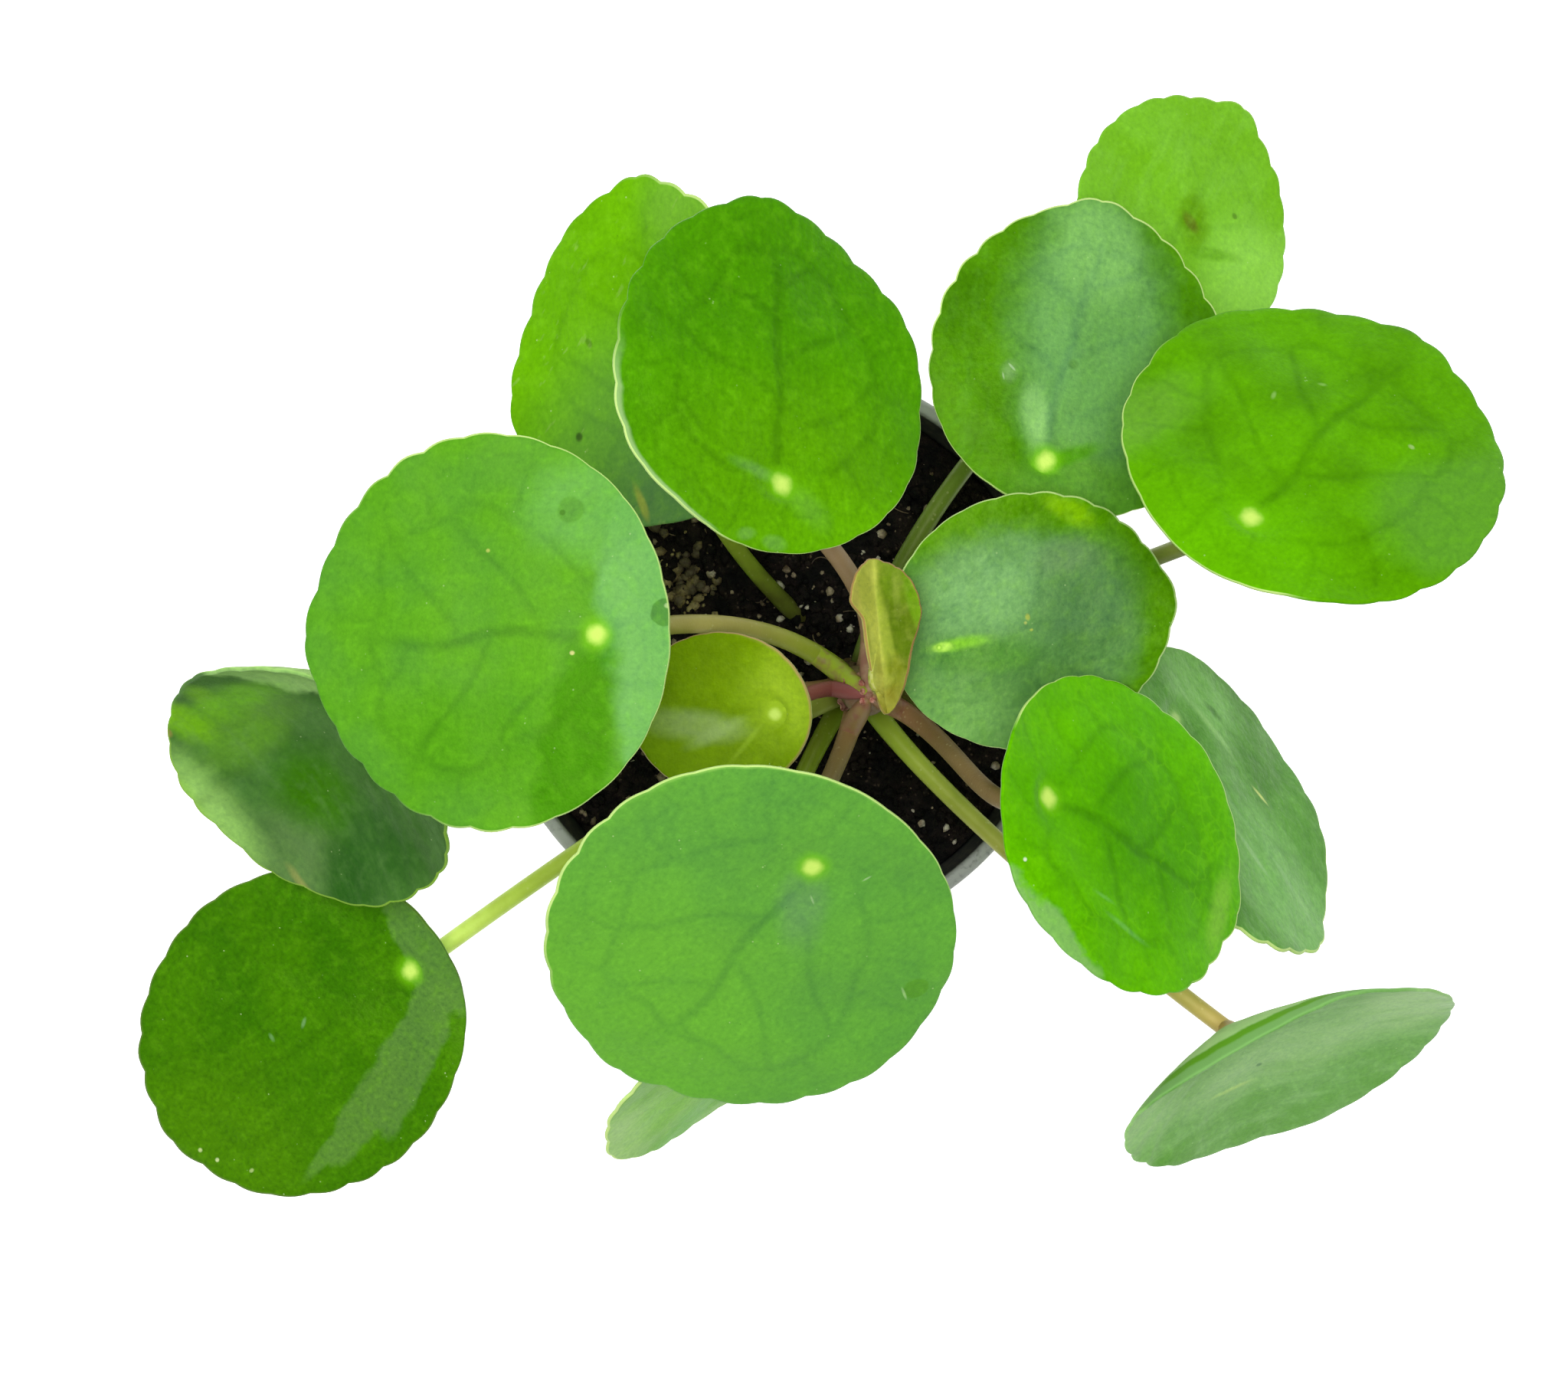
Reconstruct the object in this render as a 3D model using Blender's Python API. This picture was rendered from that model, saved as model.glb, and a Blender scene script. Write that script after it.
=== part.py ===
"""A potted Chinese money plant: sixteen round leaves on long stalks, one short stem, soil and a plain pot.

Lengths in this file are millimetres; MM turns them into Blender's metres when a shape is made.
The origin is the middle of the pot's flat underside, +Z is up, and +Y points to the back of the plant.
"""
import math
import random
from dataclasses import dataclass

import bmesh
import bpy
from mathutils import Matrix, Vector

MM = 0.001
GAP = 0.3  # between pieces that touch on the real plant

# Pot
POT_HEIGHT = 100.0
POT_RIM_RADIUS = 60.0
POT_FOOT_RADIUS = 42.5
POT_WALL = 1.4
POT_FLOOR = 2.4
POT_BAND = 9.0  # height of the stiff band below the rim
POT_BAND_STEP = 1.6  # how far the band stands out from the wall
POT_SIDES = 40
DRAIN_HOLES = 8
DRAIN_RADIUS = 4.0
DRAIN_RING = 33.0
DRAIN_SIDES = 12

# Soil
SOIL_TOP = 90.0
SOIL_LUMP = 1.3
SOIL_SIDES = 40
SOIL_RINGS = 9

# Stem
STEM_FOOT = Vector((12.5, -3.6, 66.0))
STEM_CROWN = Vector((17.0, -8.2, 127.0))
STEM_RADIUS = 4.66  # at its foot
STEM_TAPER = 0.53  # how much thinner it is at the crown
STEM_SIDES = 14
STEM_SCARS = 9  # rings left by fallen leaves
STEM_STEPS_PER_SCAR = 3
SCAR_RISE = 0.35
BUD_HEIGHT = 5.0
BUD_FORM = ((0.35, 3.5), (0.7, 2.2), (1.0, 0.7))  # share of the bud's height, and the radius there

# Leaves in general
BLADE_MIDDLE = 1.3  # thickness beside the stalk
BLADE_EDGE = 0.8  # thickness at the margin
SCALLOPS = 26  # shallow bays round the margin
TIP_SPREAD = 0.22  # how wide the tip is, as an angle in radians
HUB_RADIUS = 2.4  # where the stalk runs into the blade
HUB_SIDES = 8
BLADE_RINGS = ((0.3, SCALLOPS // 2), (0.66, SCALLOPS), (1.0, 2 * SCALLOPS))  # reach and number of points
BLANK_HUB = 0.05  # radius of the hub on the flat blank, whose own radius is 1
DIMPLE = 0.7  # how far the blade dips where the stalk meets it
DIMPLE_REACH = 0.14
STALK_RINGS = 9
STALK_CROWDING = 1.15  # above 1, the stalk's rings stand closer together near the blade
STALK_FLARE = 0.25  # how much thicker a stalk is at its foot


@dataclass
class Leaf:
    """One leaf: where its stalk meets the blade, how the blade lies, and how its stalk leaves the stem."""

    name: str
    spot: tuple  # where the stalk meets the blade
    heading: float  # direction of the midrib seen from above, in degrees from +X
    toward: float  # direction that the face leans to, seen from above
    lean: float  # degrees from level
    length: float  # along the midrib
    width: float
    joins: float = 0.21  # share of the length between the base edge and the stalk
    aside: float = 0.0  # how far the blade's middle lies to the left of the midrib
    taper: float = 0.0  # how much narrower the far half is than the near half
    dish: float = 0.0  # how far the margin stands above the stalk's end
    dome: float = 0.0  # how far the margin falls below the blade's middle
    fold: float = 0.0  # how far the two halves rise from the midrib
    ripple: float = 0.8  # height of the slow wave along the margin
    tip: float = 1.5  # how far the tip stands out of the round outline
    scallop: float = 0.9  # depth of the bays
    stalk: float = 1.8  # radius of the leaf stalk
    node: float = 110.0  # height at which the stalk leaves the stem
    leaves: float = 0.0  # direction in which it leaves, seen from above
    rise: float = 35.0  # how steeply it leaves, in degrees
    reach_out: float = 0.35  # how long the stalk keeps its first direction, as a share of its span
    reach_in: float = 0.3  # and how long it keeps the direction in which it meets the blade
    plumb: float = 0.0  # 0 where it meets the blade squarely, 1 where it comes up plumb
    soil_foot: tuple = ()  # the foot of a stalk that comes straight out of the soil
    soil_way: tuple = ()  # and the direction in which it grows there
    colour: tuple = (0.10, 0.30, 0.02)


# Name, spot, heading, toward, lean, length and width, then what differs from the usual
LEAVES = [
    Leaf("leaf_01", (-20.5, 35.5, 136), 95, 184, 32, 67, 66, joins=0.16, aside=3.5, taper=0.22, stalk=1.7,
         reach_out=0.55, reach_in=0.1, soil_foot=(9.5, 3.0, 82.0), soil_way=(-0.62, 0.5, 0.62),
         colour=(0.16, 0.42, 0.01)),
    Leaf("leaf_02", (0.5, 30, 169), 94, 24, 31, 67, 64.5, joins=0.19, aside=0.3, taper=0.06, dome=1.2,
         node=120, leaves=80, reach_out=0.4, reach_in=0.1, colour=(0.07, 0.30, 0.01)),
    Leaf("leaf_03", (-33, 2.7, 174), 181, 180, 13, 68.8, 72.8, joins=0.2, aside=-0.7, dome=1.6,
         node=115.5, leaves=140, reach_out=0.45, colour=(0.11, 0.38, 0.05)),
    Leaf("leaf_04", (-84, -10, 138), 239, 239, 46, 59.4, 62, dish=9, aside=1.5, node=107, leaves=187,
         colour=(0.05, 0.18, 0.04)),
    Leaf("leaf_05", (-75, -64.5, 108), 220, 215, 18, 77.5, 66, joins=0.13, aside=-4.8,
         node=112.5, leaves=199, reach_in=0.15, colour=(0.05, 0.20, 0.01)),
    Leaf("leaf_06", (6, -40, 166), 226, 284, 31, 74.5, 79.5, joins=0.24, aside=2.5, dome=1.6,
         node=120, leaves=250, colour=(0.12, 0.36, 0.06)),
    Leaf("leaf_07", (0.5, -70.5, 118), 221, 311, 67, 56, 54, node=103, leaves=235, colour=(0.24, 0.48, 0.10)),
    Leaf("leaf_08", (-1, -12, 147), 182, 200, 12, 35, 31, aside=-0.6, dish=1.5, ripple=0.4, scallop=0.25,
         stalk=1.4, node=123, leaves=172, colour=(0.22, 0.36, 0.01)),
    Leaf("leaf_09", (19.2, -6, 157), 95, 45, 10, 29, 15, taper=-0.2, fold=6.5, ripple=0.3, scallop=0.2,
         tip=0.6, stalk=1.3, node=125, leaves=60, rise=20, reach_out=0.5,
         colour=(0.28, 0.38, 0.05)),
    Leaf("leaf_10", (30, 0.5, 151), 10, 340, 14, 56, 49, joins=0.17, aside=2, scallop=0.6, node=121, leaves=20,
         colour=(0.13, 0.34, 0.10)),
    Leaf("leaf_11", (86, 24, 168), 42, 85, 35, 71.5, 72, joins=0.2, aside=1.4, dome=1.0, node=107, leaves=25,
         rise=0, reach_out=0.45, reach_in=0.42, plumb=1.0, colour=(0.07, 0.30, 0.01)),
    Leaf("leaf_12", (51, 36.5, 140), 81, 60, 14, 64, 59, joins=0.16, aside=-4, taper=0.05, dome=1.0,
         node=115, leaves=55, colour=(0.12, 0.34, 0.08)),
    Leaf("leaf_13", (74, 72, 116), 62, 25, 30, 61.5, 50, tip=3, node=109, leaves=80, reach_out=0.45,
         colour=(0.17, 0.44, 0.04)),
    Leaf("leaf_14", (49, -27, 169), 326, 22, 44, 64.5, 60.5, joins=0.19, aside=3.5, dome=1.2,
         node=117, leaves=335, colour=(0.10, 0.38, 0.01)),
    Leaf("leaf_15", (79, -13, 118), 303, 30, 55, 68, 60, node=102, leaves=348, colour=(0.15, 0.38, 0.12)),
    Leaf("leaf_16", (90, -76.5, 118), 294, 294, 58, 54, 73, dish=7, aside=8.5,
         node=112, leaves=304, reach_in=0.1, plumb=1.0, colour=(0.20, 0.46, 0.14)),
]


def clear_scene():
    for thing in list(bpy.data.objects):
        bpy.data.objects.remove(thing, do_unlink=True)


def material(name, colour, roughness, metallic=0.0):
    """A plain Principled finish, one for each piece."""
    finish = bpy.data.materials.new(name)
    finish.use_nodes = True
    shader = finish.node_tree.nodes["Principled BSDF"]
    shader.inputs["Base Color"].default_value = (*colour, 1.0)
    shader.inputs["Roughness"].default_value = roughness
    shader.inputs["Metallic"].default_value = metallic
    finish.diffuse_color = (*colour, 1.0)
    return finish


def finish_object(name, bm, finish, smooth_angle=40.0):
    """Turns a bmesh in millimetres into a named object in metres."""
    bmesh.ops.recalc_face_normals(bm, faces=bm.faces)
    bmesh.ops.scale(bm, vec=(MM, MM, MM), verts=bm.verts)
    mesh = bpy.data.meshes.new(name)
    bm.to_mesh(mesh)
    bm.free()
    mesh.shade_smooth()
    mesh.set_sharp_from_angle(angle=math.radians(smooth_angle))
    mesh.materials.append(finish)
    thing = bpy.data.objects.new(name, mesh)
    bpy.context.collection.objects.link(thing)
    return thing


def cut_with(thing, name, bm):
    """Subtracts a closed bmesh, kept beside the piece as a hidden cutter."""
    cutter = finish_object(name, bm, thing.data.materials[0])
    cutter.hide_render = True
    cutter.display_type = "WIRE"
    cut = thing.modifiers.new(name, "BOOLEAN")
    cut.operation = "DIFFERENCE"
    cut.solver = "MANIFOLD"
    cut.object = cutter


def turned(profile, sides):
    """A bmesh turned from a profile of (radius, height) points that starts and ends on the axis."""
    bm = bmesh.new()
    points = [bm.verts.new((radius, 0.0, height)) for radius, height in profile]
    edges = [bm.edges.new(pair) for pair in zip(points, points[1:])]
    bmesh.ops.spin(bm, geom=points + edges, cent=(0, 0, 0), axis=(0, 0, 1), angle=math.tau, steps=sides,
                   use_merge=True)
    bmesh.ops.remove_doubles(bm, verts=bm.verts, dist=1e-4)
    return bm


def frame_at(centre, along, sideways):
    """A matrix whose Z axis runs along a tube and whose X axis stays near the given direction."""
    z_axis = along.normalized()
    x_axis = (sideways - sideways.dot(z_axis) * z_axis).normalized()
    y_axis = z_axis.cross(x_axis)
    turn = Matrix((x_axis, y_axis, z_axis)).transposed().to_4x4()
    return Matrix.Translation(centre) @ turn


def extrude_along(bm, face, frames, radii):
    """Extrudes a round face through a row of frames, scaled to each radius."""
    for (start, end), (from_radius, to_radius) in zip(zip(frames, frames[1:]), zip(radii, radii[1:])):
        face = bmesh.ops.extrude_discrete_faces(bm, faces=[face])["faces"][0]
        grow = Matrix.Diagonal((to_radius / from_radius, to_radius / from_radius, 1.0, 1.0))
        bmesh.ops.transform(bm, matrix=end @ grow @ start.inverted(), verts=face.verts)


def swept_tube(frames, radii, sides):
    """A closed round tube through a row of frames."""
    bm = bmesh.new()
    bmesh.ops.create_circle(bm, cap_ends=True, segments=sides, radius=radii[0], matrix=frames[0])
    extrude_along(bm, bm.faces[:][0], frames, radii)
    bmesh.ops.holes_fill(bm, edges=bm.edges[:], sides=sides)
    return bm


# Stem


def stem_axis():
    return (STEM_CROWN - STEM_FOOT).normalized()


def stem_share(height):
    """How far up the stem a height lies, from 0 at the foot to 1 at the crown."""
    return (height - STEM_FOOT.z) / (STEM_CROWN.z - STEM_FOOT.z)


def stem_point(height):
    """The middle of the stem at a height."""
    return STEM_FOOT.lerp(STEM_CROWN, stem_share(height))


def stem_radius(height):
    """The stem narrows slightly upwards and swells into a low ring at each scar."""
    share = stem_share(height)
    ring = 0.5 + 0.5 * math.cos(math.tau * STEM_SCARS * share)
    return STEM_RADIUS - STEM_TAPER * share + SCAR_RISE * ring ** 3


def stem_frames(extra=0.0):
    """Frames and radii from the stem's foot to the tip of its bud, thicker by an extra amount."""
    sideways = Vector((1, 0, 0))
    steps = STEM_STEPS_PER_SCAR * STEM_SCARS
    heights = [STEM_FOOT.z + (STEM_CROWN.z - STEM_FOOT.z) * step / steps for step in range(steps + 1)]
    frames = [frame_at(stem_point(height), stem_axis(), sideways) for height in heights]
    radii = [stem_radius(height) + extra for height in heights]
    for rise, radius in BUD_FORM:
        frames.append(frame_at(STEM_CROWN + stem_axis() * BUD_HEIGHT * rise, stem_axis(), sideways))
        radii.append(radius + extra)
    return frames, radii


def make_stem():
    frames, radii = stem_frames()
    finish_object("stem", swept_tube(frames, radii, STEM_SIDES), material("stem", (0.13, 0.09, 0.03), 0.6))


# Leaf blades


def plane_axes(leaf):
    """The blade's own axes: along the midrib, across it to the left, and out of its upper face."""
    lean, toward, heading = (math.radians(x) for x in (leaf.lean, leaf.toward, leaf.heading))
    normal = Vector((math.sin(lean) * math.cos(toward), math.sin(lean) * math.sin(toward), math.cos(lean)))
    along = Vector((math.cos(heading), math.sin(heading), 0.0))
    along.z = -(along.x * normal.x + along.y * normal.y) / normal.z
    along.normalize()
    return along, normal.cross(along), normal


def outline(leaf, turn):
    """A point of the margin in the blade's plane, measured from the stalk's end. The tip is at turn 0."""
    tip = leaf.tip * math.exp(-((math.remainder(turn, math.tau) / TIP_SPREAD) ** 2))
    far = 0.5 + 0.5 * math.cos(turn)
    bay = 1.0 - abs(math.sin(SCALLOPS * turn / 2))
    cut = leaf.scallop * (0.25 + 0.75 * min(1.0, 1.6 * far)) * bay  # the bays are shallow near the base
    middle = leaf.length * (0.5 - leaf.joins)
    along = middle + (leaf.length / 2 + tip - cut) * math.cos(turn)
    across = leaf.aside + (leaf.width / 2 - cut) * (1 - leaf.taper * math.cos(turn)) * math.sin(turn)
    return along, across


def blade_height(leaf, turn, reach, along, across):
    """How far the upper face stands above the blade's plane."""
    half_length, half_width = leaf.length / 2, leaf.width / 2
    start = 1 - 2 * leaf.joins  # from the stalk to the blade's middle, in half lengths
    u = along / half_length - start
    v = (across - reach * leaf.aside) / half_width
    draw = random.Random(leaf.name)
    waves, phase = draw.choice((3, 4, 5)), draw.uniform(0, math.tau)
    height = leaf.dish * reach ** 2
    height -= leaf.dome * (u * u + v * v - start * start)
    height += leaf.fold * (math.sqrt(v * v + 0.02) - math.sqrt(0.02))  # a V with a rounded bottom
    height += leaf.ripple * reach ** 3 * math.sin(waves * turn + phase)
    height -= DIMPLE * math.exp(-((reach / DIMPLE_REACH) ** 2))
    return height


def blade_point(leaf, turn, reach):
    """A point of the blade's middle surface. Reach runs from 0 beside the stalk to 1 at the margin."""
    edge_along, edge_across = outline(leaf, turn)
    along = (1 - reach) * HUB_RADIUS * math.cos(turn) + reach * edge_along
    across = (1 - reach) * HUB_RADIUS * math.sin(turn) + reach * edge_across
    axes = plane_axes(leaf)
    height = blade_height(leaf, turn, reach, along, across)
    return Vector(leaf.spot) + along * axes[0] + across * axes[1] + height * axes[2]


def blade_normal(leaf, turn, reach):
    """The upper face's own direction at a point of the blade."""
    step = 0.01
    inner, outer = max(0.0, reach - step), min(1.0, reach + step)
    outward = blade_point(leaf, turn, outer) - blade_point(leaf, turn, inner)
    around = blade_point(leaf, turn + step, reach) - blade_point(leaf, turn - step, reach)
    return outward.cross(around).normalized()


def flat_blank():
    """A round slab in rings, with a stalk-sized face in the middle of each side.

    Its radius is 1, and its height says which face of the blade a point belongs to.
    """
    bm = bmesh.new()
    hub = bmesh.ops.create_circle(bm, cap_ends=True, segments=HUB_SIDES, radius=BLANK_HUB)["verts"]
    loop = list({edge for vert in hub for edge in vert.link_edges})
    for reach, count in BLADE_RINGS:
        radius = BLANK_HUB + (1 - BLANK_HUB) * reach
        ring = bmesh.ops.create_circle(bm, segments=count, radius=radius)["verts"]
        ring_loop = list({edge for vert in ring for edge in vert.link_edges})
        bmesh.ops.triangle_fill(bm, use_beauty=True, normal=(0, 0, 1), edges=loop + ring_loop)
        loop = ring_loop
    top = bmesh.ops.extrude_face_region(bm, geom=bm.faces[:])["geom"]
    for vert in (item for item in top if isinstance(item, bmesh.types.BMVert)):
        vert.co.z = 1.0
    return bm


# Leaf stalks


def hub_frame(leaf):
    """The frame at the stalk's upper end, looking down the stalk."""
    along, _, _ = plane_axes(leaf)
    quarter = math.pi / 2
    centre = sum((blade_point(leaf, quarter * side, 0.0) for side in range(4)), Vector()) / 4
    normal = sum((blade_normal(leaf, quarter * side, 0.0) for side in range(4)), Vector()).normalized()
    return frame_at(centre - normal * BLADE_MIDDLE / 2, -normal, along)


def stalk_foot(leaf):
    """Where the stalk starts, the direction that its foot faces, and the direction in which it grows."""
    if leaf.soil_foot:
        way = Vector(leaf.soil_way).normalized()
        return Vector(leaf.soil_foot), way, way
    out = Vector((math.cos(math.radians(leaf.leaves)), math.sin(math.radians(leaf.leaves)), 0.0))
    out = (out - out.dot(stem_axis()) * stem_axis()).normalized()
    rise = math.radians(leaf.rise)
    way = out * math.cos(rise) + stem_axis() * math.sin(rise)
    thickest = max(stem_radius(leaf.node + step * leaf.stalk) for step in (-1, -0.5, 0, 0.5, 1))
    return stem_point(leaf.node) + out * (thickest + GAP), out, way


def stalk_frames(leaf):
    """Frames and radii from the blade down to the stalk's foot, along one smooth curve."""
    top = hub_frame(leaf)
    head = top.translation.copy()
    down = top.col[2].xyz.lerp(Vector((0, 0, -1)), leaf.plumb)
    foot, face, way = stalk_foot(leaf)
    span = (head - foot).length
    control = (head, head + down * span * leaf.reach_in, foot + way * span * leaf.reach_out, foot)
    frames, radii, sideways = [top], [HUB_RADIUS], top.col[0].xyz
    for ring in range(1, STALK_RINGS + 1):
        share = (ring / STALK_RINGS) ** STALK_CROWDING
        weights = ((1 - share) ** 3, 3 * share * (1 - share) ** 2, 3 * share ** 2 * (1 - share), share ** 3)
        point = sum((weight * place for weight, place in zip(weights, control)), Vector())
        slopes = ((1 - share) ** 2, 2 * share * (1 - share), share ** 2)
        along = sum((slope * (b - a) for slope, a, b in zip(slopes, control, control[1:])), Vector())
        if ring == STALK_RINGS:
            along = -face
        frames.append(frame_at(point, along, sideways))
        sideways = frames[-1].col[0].xyz
        radii.append(leaf.stalk * (1 + STALK_FLARE * share ** 6))
    return frames, radii


def make_leaf(leaf):
    """Presses the flat blank into the blade's form, then draws the stalk out of its underside."""
    bm = flat_blank()
    for vert in bm.verts:
        turn = math.atan2(vert.co.y, vert.co.x)
        reach = (vert.co.xy.length - BLANK_HUB) / (1 - BLANK_HUB)
        reach = min(1.0, max(0.0, reach))
        side = 0.5 if vert.co.z > 0.5 else -0.5
        thickness = BLADE_MIDDLE + (BLADE_EDGE - BLADE_MIDDLE) * reach
        vert.co = blade_point(leaf, turn, reach) + side * thickness * blade_normal(leaf, turn, reach)
    frames, radii = stalk_frames(leaf)
    hubs = [face for face in bm.faces if len(face.verts) == HUB_SIDES]
    lower = min(hubs, key=lambda face: (face.calc_center_median() - frames[0].translation).length)
    extrude_along(bm, lower, frames, radii)
    finish_object(leaf.name, bm, material(leaf.name, leaf.colour, 0.4), 60.0)


# Soil and pot


def pot_inside(height):
    """Radius of the pot's inner wall at a height."""
    share = height / POT_HEIGHT
    return POT_FOOT_RADIUS + (POT_RIM_RADIUS - POT_BAND_STEP - POT_FOOT_RADIUS) * share - POT_WALL


def soil_height(x, y):
    """The soil's lumpy top as a sum of crossed waves."""
    lump = math.sin(0.31 * x + 1.3) * math.cos(0.27 * y - 0.4)
    lump += 0.6 * math.sin(0.53 * x - 0.61 * y) + 0.5 * math.cos(0.83 * y + 0.47 * x + 2.0)
    return SOIL_TOP + SOIL_LUMP * lump / 2


def stalk_hole(leaf):
    """A plain hole for the buried part of a stalk: the stalk's own lower half, a gap wider all round."""
    frames, radii = stalk_frames(leaf)
    count = STALK_RINGS // 2 + 1
    frames = frames[:-count - 1:-1]
    radii = [radius + GAP for radius in radii[:-count - 1:-1]]
    frames[0] = frames[0] @ Matrix.Translation((0, 0, GAP))
    return swept_tube(frames, radii, HUB_SIDES)


def make_soil():
    """A tapered block that fills the pot, with plain holes for the stem and for the stalk beside it."""
    floor = POT_FLOOR + GAP
    rim = pot_inside(SOIL_TOP) - GAP
    profile = [(0.0, floor), (pot_inside(floor) - GAP, floor)]
    profile += [(rim * (SOIL_RINGS - ring) / SOIL_RINGS, SOIL_TOP) for ring in range(SOIL_RINGS + 1)]
    bm = turned(profile, SOIL_SIDES)
    for vert in bm.verts:
        if vert.co.z > SOIL_TOP - 1:
            vert.co.z = soil_height(vert.co.x, vert.co.y)
    soil = finish_object("soil", bm, material("soil", (0.012, 0.009, 0.007), 0.95))
    frames, radii = stem_frames(extra=GAP)
    frames[0] = frames[0] @ Matrix.Translation((0, 0, -GAP))
    cut_with(soil, "stem_hole", swept_tube(frames, radii, STEM_SIDES))
    for leaf in LEAVES:
        if leaf.soil_foot:
            cut_with(soil, f"hole_for_{leaf.name}", stalk_hole(leaf))


def make_pot():
    """A tapered pot with a stiff band below its rim, a flat floor and a ring of drain holes."""
    foot, wall = POT_FOOT_RADIUS, POT_RIM_RADIUS - POT_BAND_STEP
    band_foot = POT_HEIGHT - POT_BAND
    below_band = foot + (wall - foot) * band_foot / POT_HEIGHT
    edge = 1.2  # the rounding of the foot and the rim
    profile = [
        (0.0, 0.0),
        (foot - edge, 0.0),
        (foot, edge),
        (below_band, band_foot - edge),
        (POT_RIM_RADIUS - edge / 2, band_foot),
        (POT_RIM_RADIUS, POT_HEIGHT - edge),
        (POT_RIM_RADIUS - edge, POT_HEIGHT),
        (pot_inside(POT_HEIGHT) + edge / 2, POT_HEIGHT),
        (pot_inside(POT_HEIGHT), POT_HEIGHT - edge),
        (pot_inside(POT_FLOOR), POT_FLOOR),
        (0.0, POT_FLOOR),
    ]
    pot = finish_object("pot", turned(profile, POT_SIDES), material("pot", (0.045, 0.045, 0.047), 0.55))
    for hole in range(DRAIN_HOLES):
        turn = math.tau * hole / DRAIN_HOLES
        place = Matrix.Translation((DRAIN_RING * math.cos(turn), DRAIN_RING * math.sin(turn), POT_FLOOR / 2))
        bm = bmesh.new()
        bmesh.ops.create_cone(bm, cap_ends=True, segments=DRAIN_SIDES, radius1=DRAIN_RADIUS,
                              radius2=DRAIN_RADIUS, depth=4 * POT_FLOOR, matrix=place)
        cut_with(pot, f"drain_hole_{hole + 1}", bm)


clear_scene()
make_pot()
make_soil()
make_stem()
for one in LEAVES:
    make_leaf(one)
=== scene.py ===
# %% [markdown]
# # A potted Chinese money plant
#
# This notebook dresses a imported CAD model of a Pilea, seen from straight above. The CAD model gives the
# size and place of every piece, and the scene adds what a camera sees: the quilting and veins of the leaves,
# the pale spot where each stalk joins its blade, peat with grit in it, and a dusty nursery pot.
#
# The CAD model comes first: its pieces are loaded and their places are baked into their meshes. The finished
# model must not outgrow it.

# %% Load the frame
import math
import random
from dataclasses import dataclass

import bmesh
import bpy
import numpy as np
from mathutils import Matrix, Vector, noise as field


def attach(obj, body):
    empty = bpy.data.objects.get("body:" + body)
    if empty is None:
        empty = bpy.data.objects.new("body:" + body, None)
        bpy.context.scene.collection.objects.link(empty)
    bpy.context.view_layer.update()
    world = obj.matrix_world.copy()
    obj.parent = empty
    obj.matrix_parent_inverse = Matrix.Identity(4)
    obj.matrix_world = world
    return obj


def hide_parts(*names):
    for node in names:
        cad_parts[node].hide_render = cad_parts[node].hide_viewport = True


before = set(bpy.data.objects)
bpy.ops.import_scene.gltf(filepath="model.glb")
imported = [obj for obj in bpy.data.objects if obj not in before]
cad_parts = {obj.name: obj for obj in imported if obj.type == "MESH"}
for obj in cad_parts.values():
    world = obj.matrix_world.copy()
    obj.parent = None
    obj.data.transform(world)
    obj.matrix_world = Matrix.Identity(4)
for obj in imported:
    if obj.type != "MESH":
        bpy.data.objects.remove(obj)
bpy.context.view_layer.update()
print("nodes in the frame:", len(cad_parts))

# %% [markdown]
# ## Camera
#
# The photo was taken from straight above, so the camera looks down the Z axis with the back of the plant at
# the top of the picture. A camera that is not turned at all looks down, so only its place and its lens
# matter. The nearest leaves look clearly larger than the far ones, which puts the camera about 70 cm up.

# %% Camera over the plant
MM = 0.001
CAMERA_PLACE = Vector((0.8, -6.8, 700.0)) * MM
LENS = 67.0

camera_data = bpy.data.cameras.new("camera")
camera_data.lens = LENS
camera_data.sensor_width = 36.0
camera_data.clip_start = 0.01
camera = bpy.data.objects.new("camera", camera_data)
camera.location = CAMERA_PLACE
bpy.context.scene.collection.objects.link(camera)
bpy.context.scene.camera = camera
print("camera stands", CAMERA_PLACE.z, "m up, lens", LENS, "mm")

# %% [markdown]
# ## Shader maths in plain Python
#
# A procedural material is mostly arithmetic on positions. Wiring that by hand takes dozens of Math nodes, so
# a small class wraps a socket and overloads the operators: an expression such as `1 - mask * 0.5` then adds
# its nodes by itself. The reflected forms (`__rsub__` and its kin) make it work with the number on the left.
#
# The helpers below the class take either a wrapped socket or a numpy array. That lets one formula draw the
# veins in the shader and press the same veins into the mesh.


# %% Wire, a socket that can be calculated with
class Wire:
    """An output socket of a node tree, with arithmetic."""

    def __init__(self, tree, socket):
        self.tree, self.socket = tree, socket

    def math(self, operation, *others):
        return add_node(self.tree, "ShaderNodeMath", {"operation": operation},
                        **{f"_{place}": value for place, value in enumerate((self, *others))})

    def reflected(self, operation, left):
        """The same with the number on the left."""
        return add_node(self.tree, "ShaderNodeMath", {"operation": operation}, _0=left, _1=self)

    def __add__(self, other):
        return self.math("ADD", other)

    def __radd__(self, other):
        return self.math("ADD", other)

    def __sub__(self, other):
        return self.math("SUBTRACT", other)

    def __rsub__(self, other):
        return self.reflected("SUBTRACT", other)

    def __mul__(self, other):
        return self.math("MULTIPLY", other)

    def __rmul__(self, other):
        return self.math("MULTIPLY", other)

    def __truediv__(self, other):
        return self.math("DIVIDE", other)

    def __rtruediv__(self, other):
        return self.reflected("DIVIDE", other)

    def __abs__(self):
        return self.math("ABSOLUTE")


def feed(tree, socket, value):
    """Links a wire to a socket, or sets the socket's own value."""
    if isinstance(value, Wire):
        tree.links.new(value.socket, socket)
    elif isinstance(value, (tuple, list)) and len(value) == 3 and socket.type == "RGBA":
        socket.default_value = (*value, 1.0)
    else:
        socket.default_value = value


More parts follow.
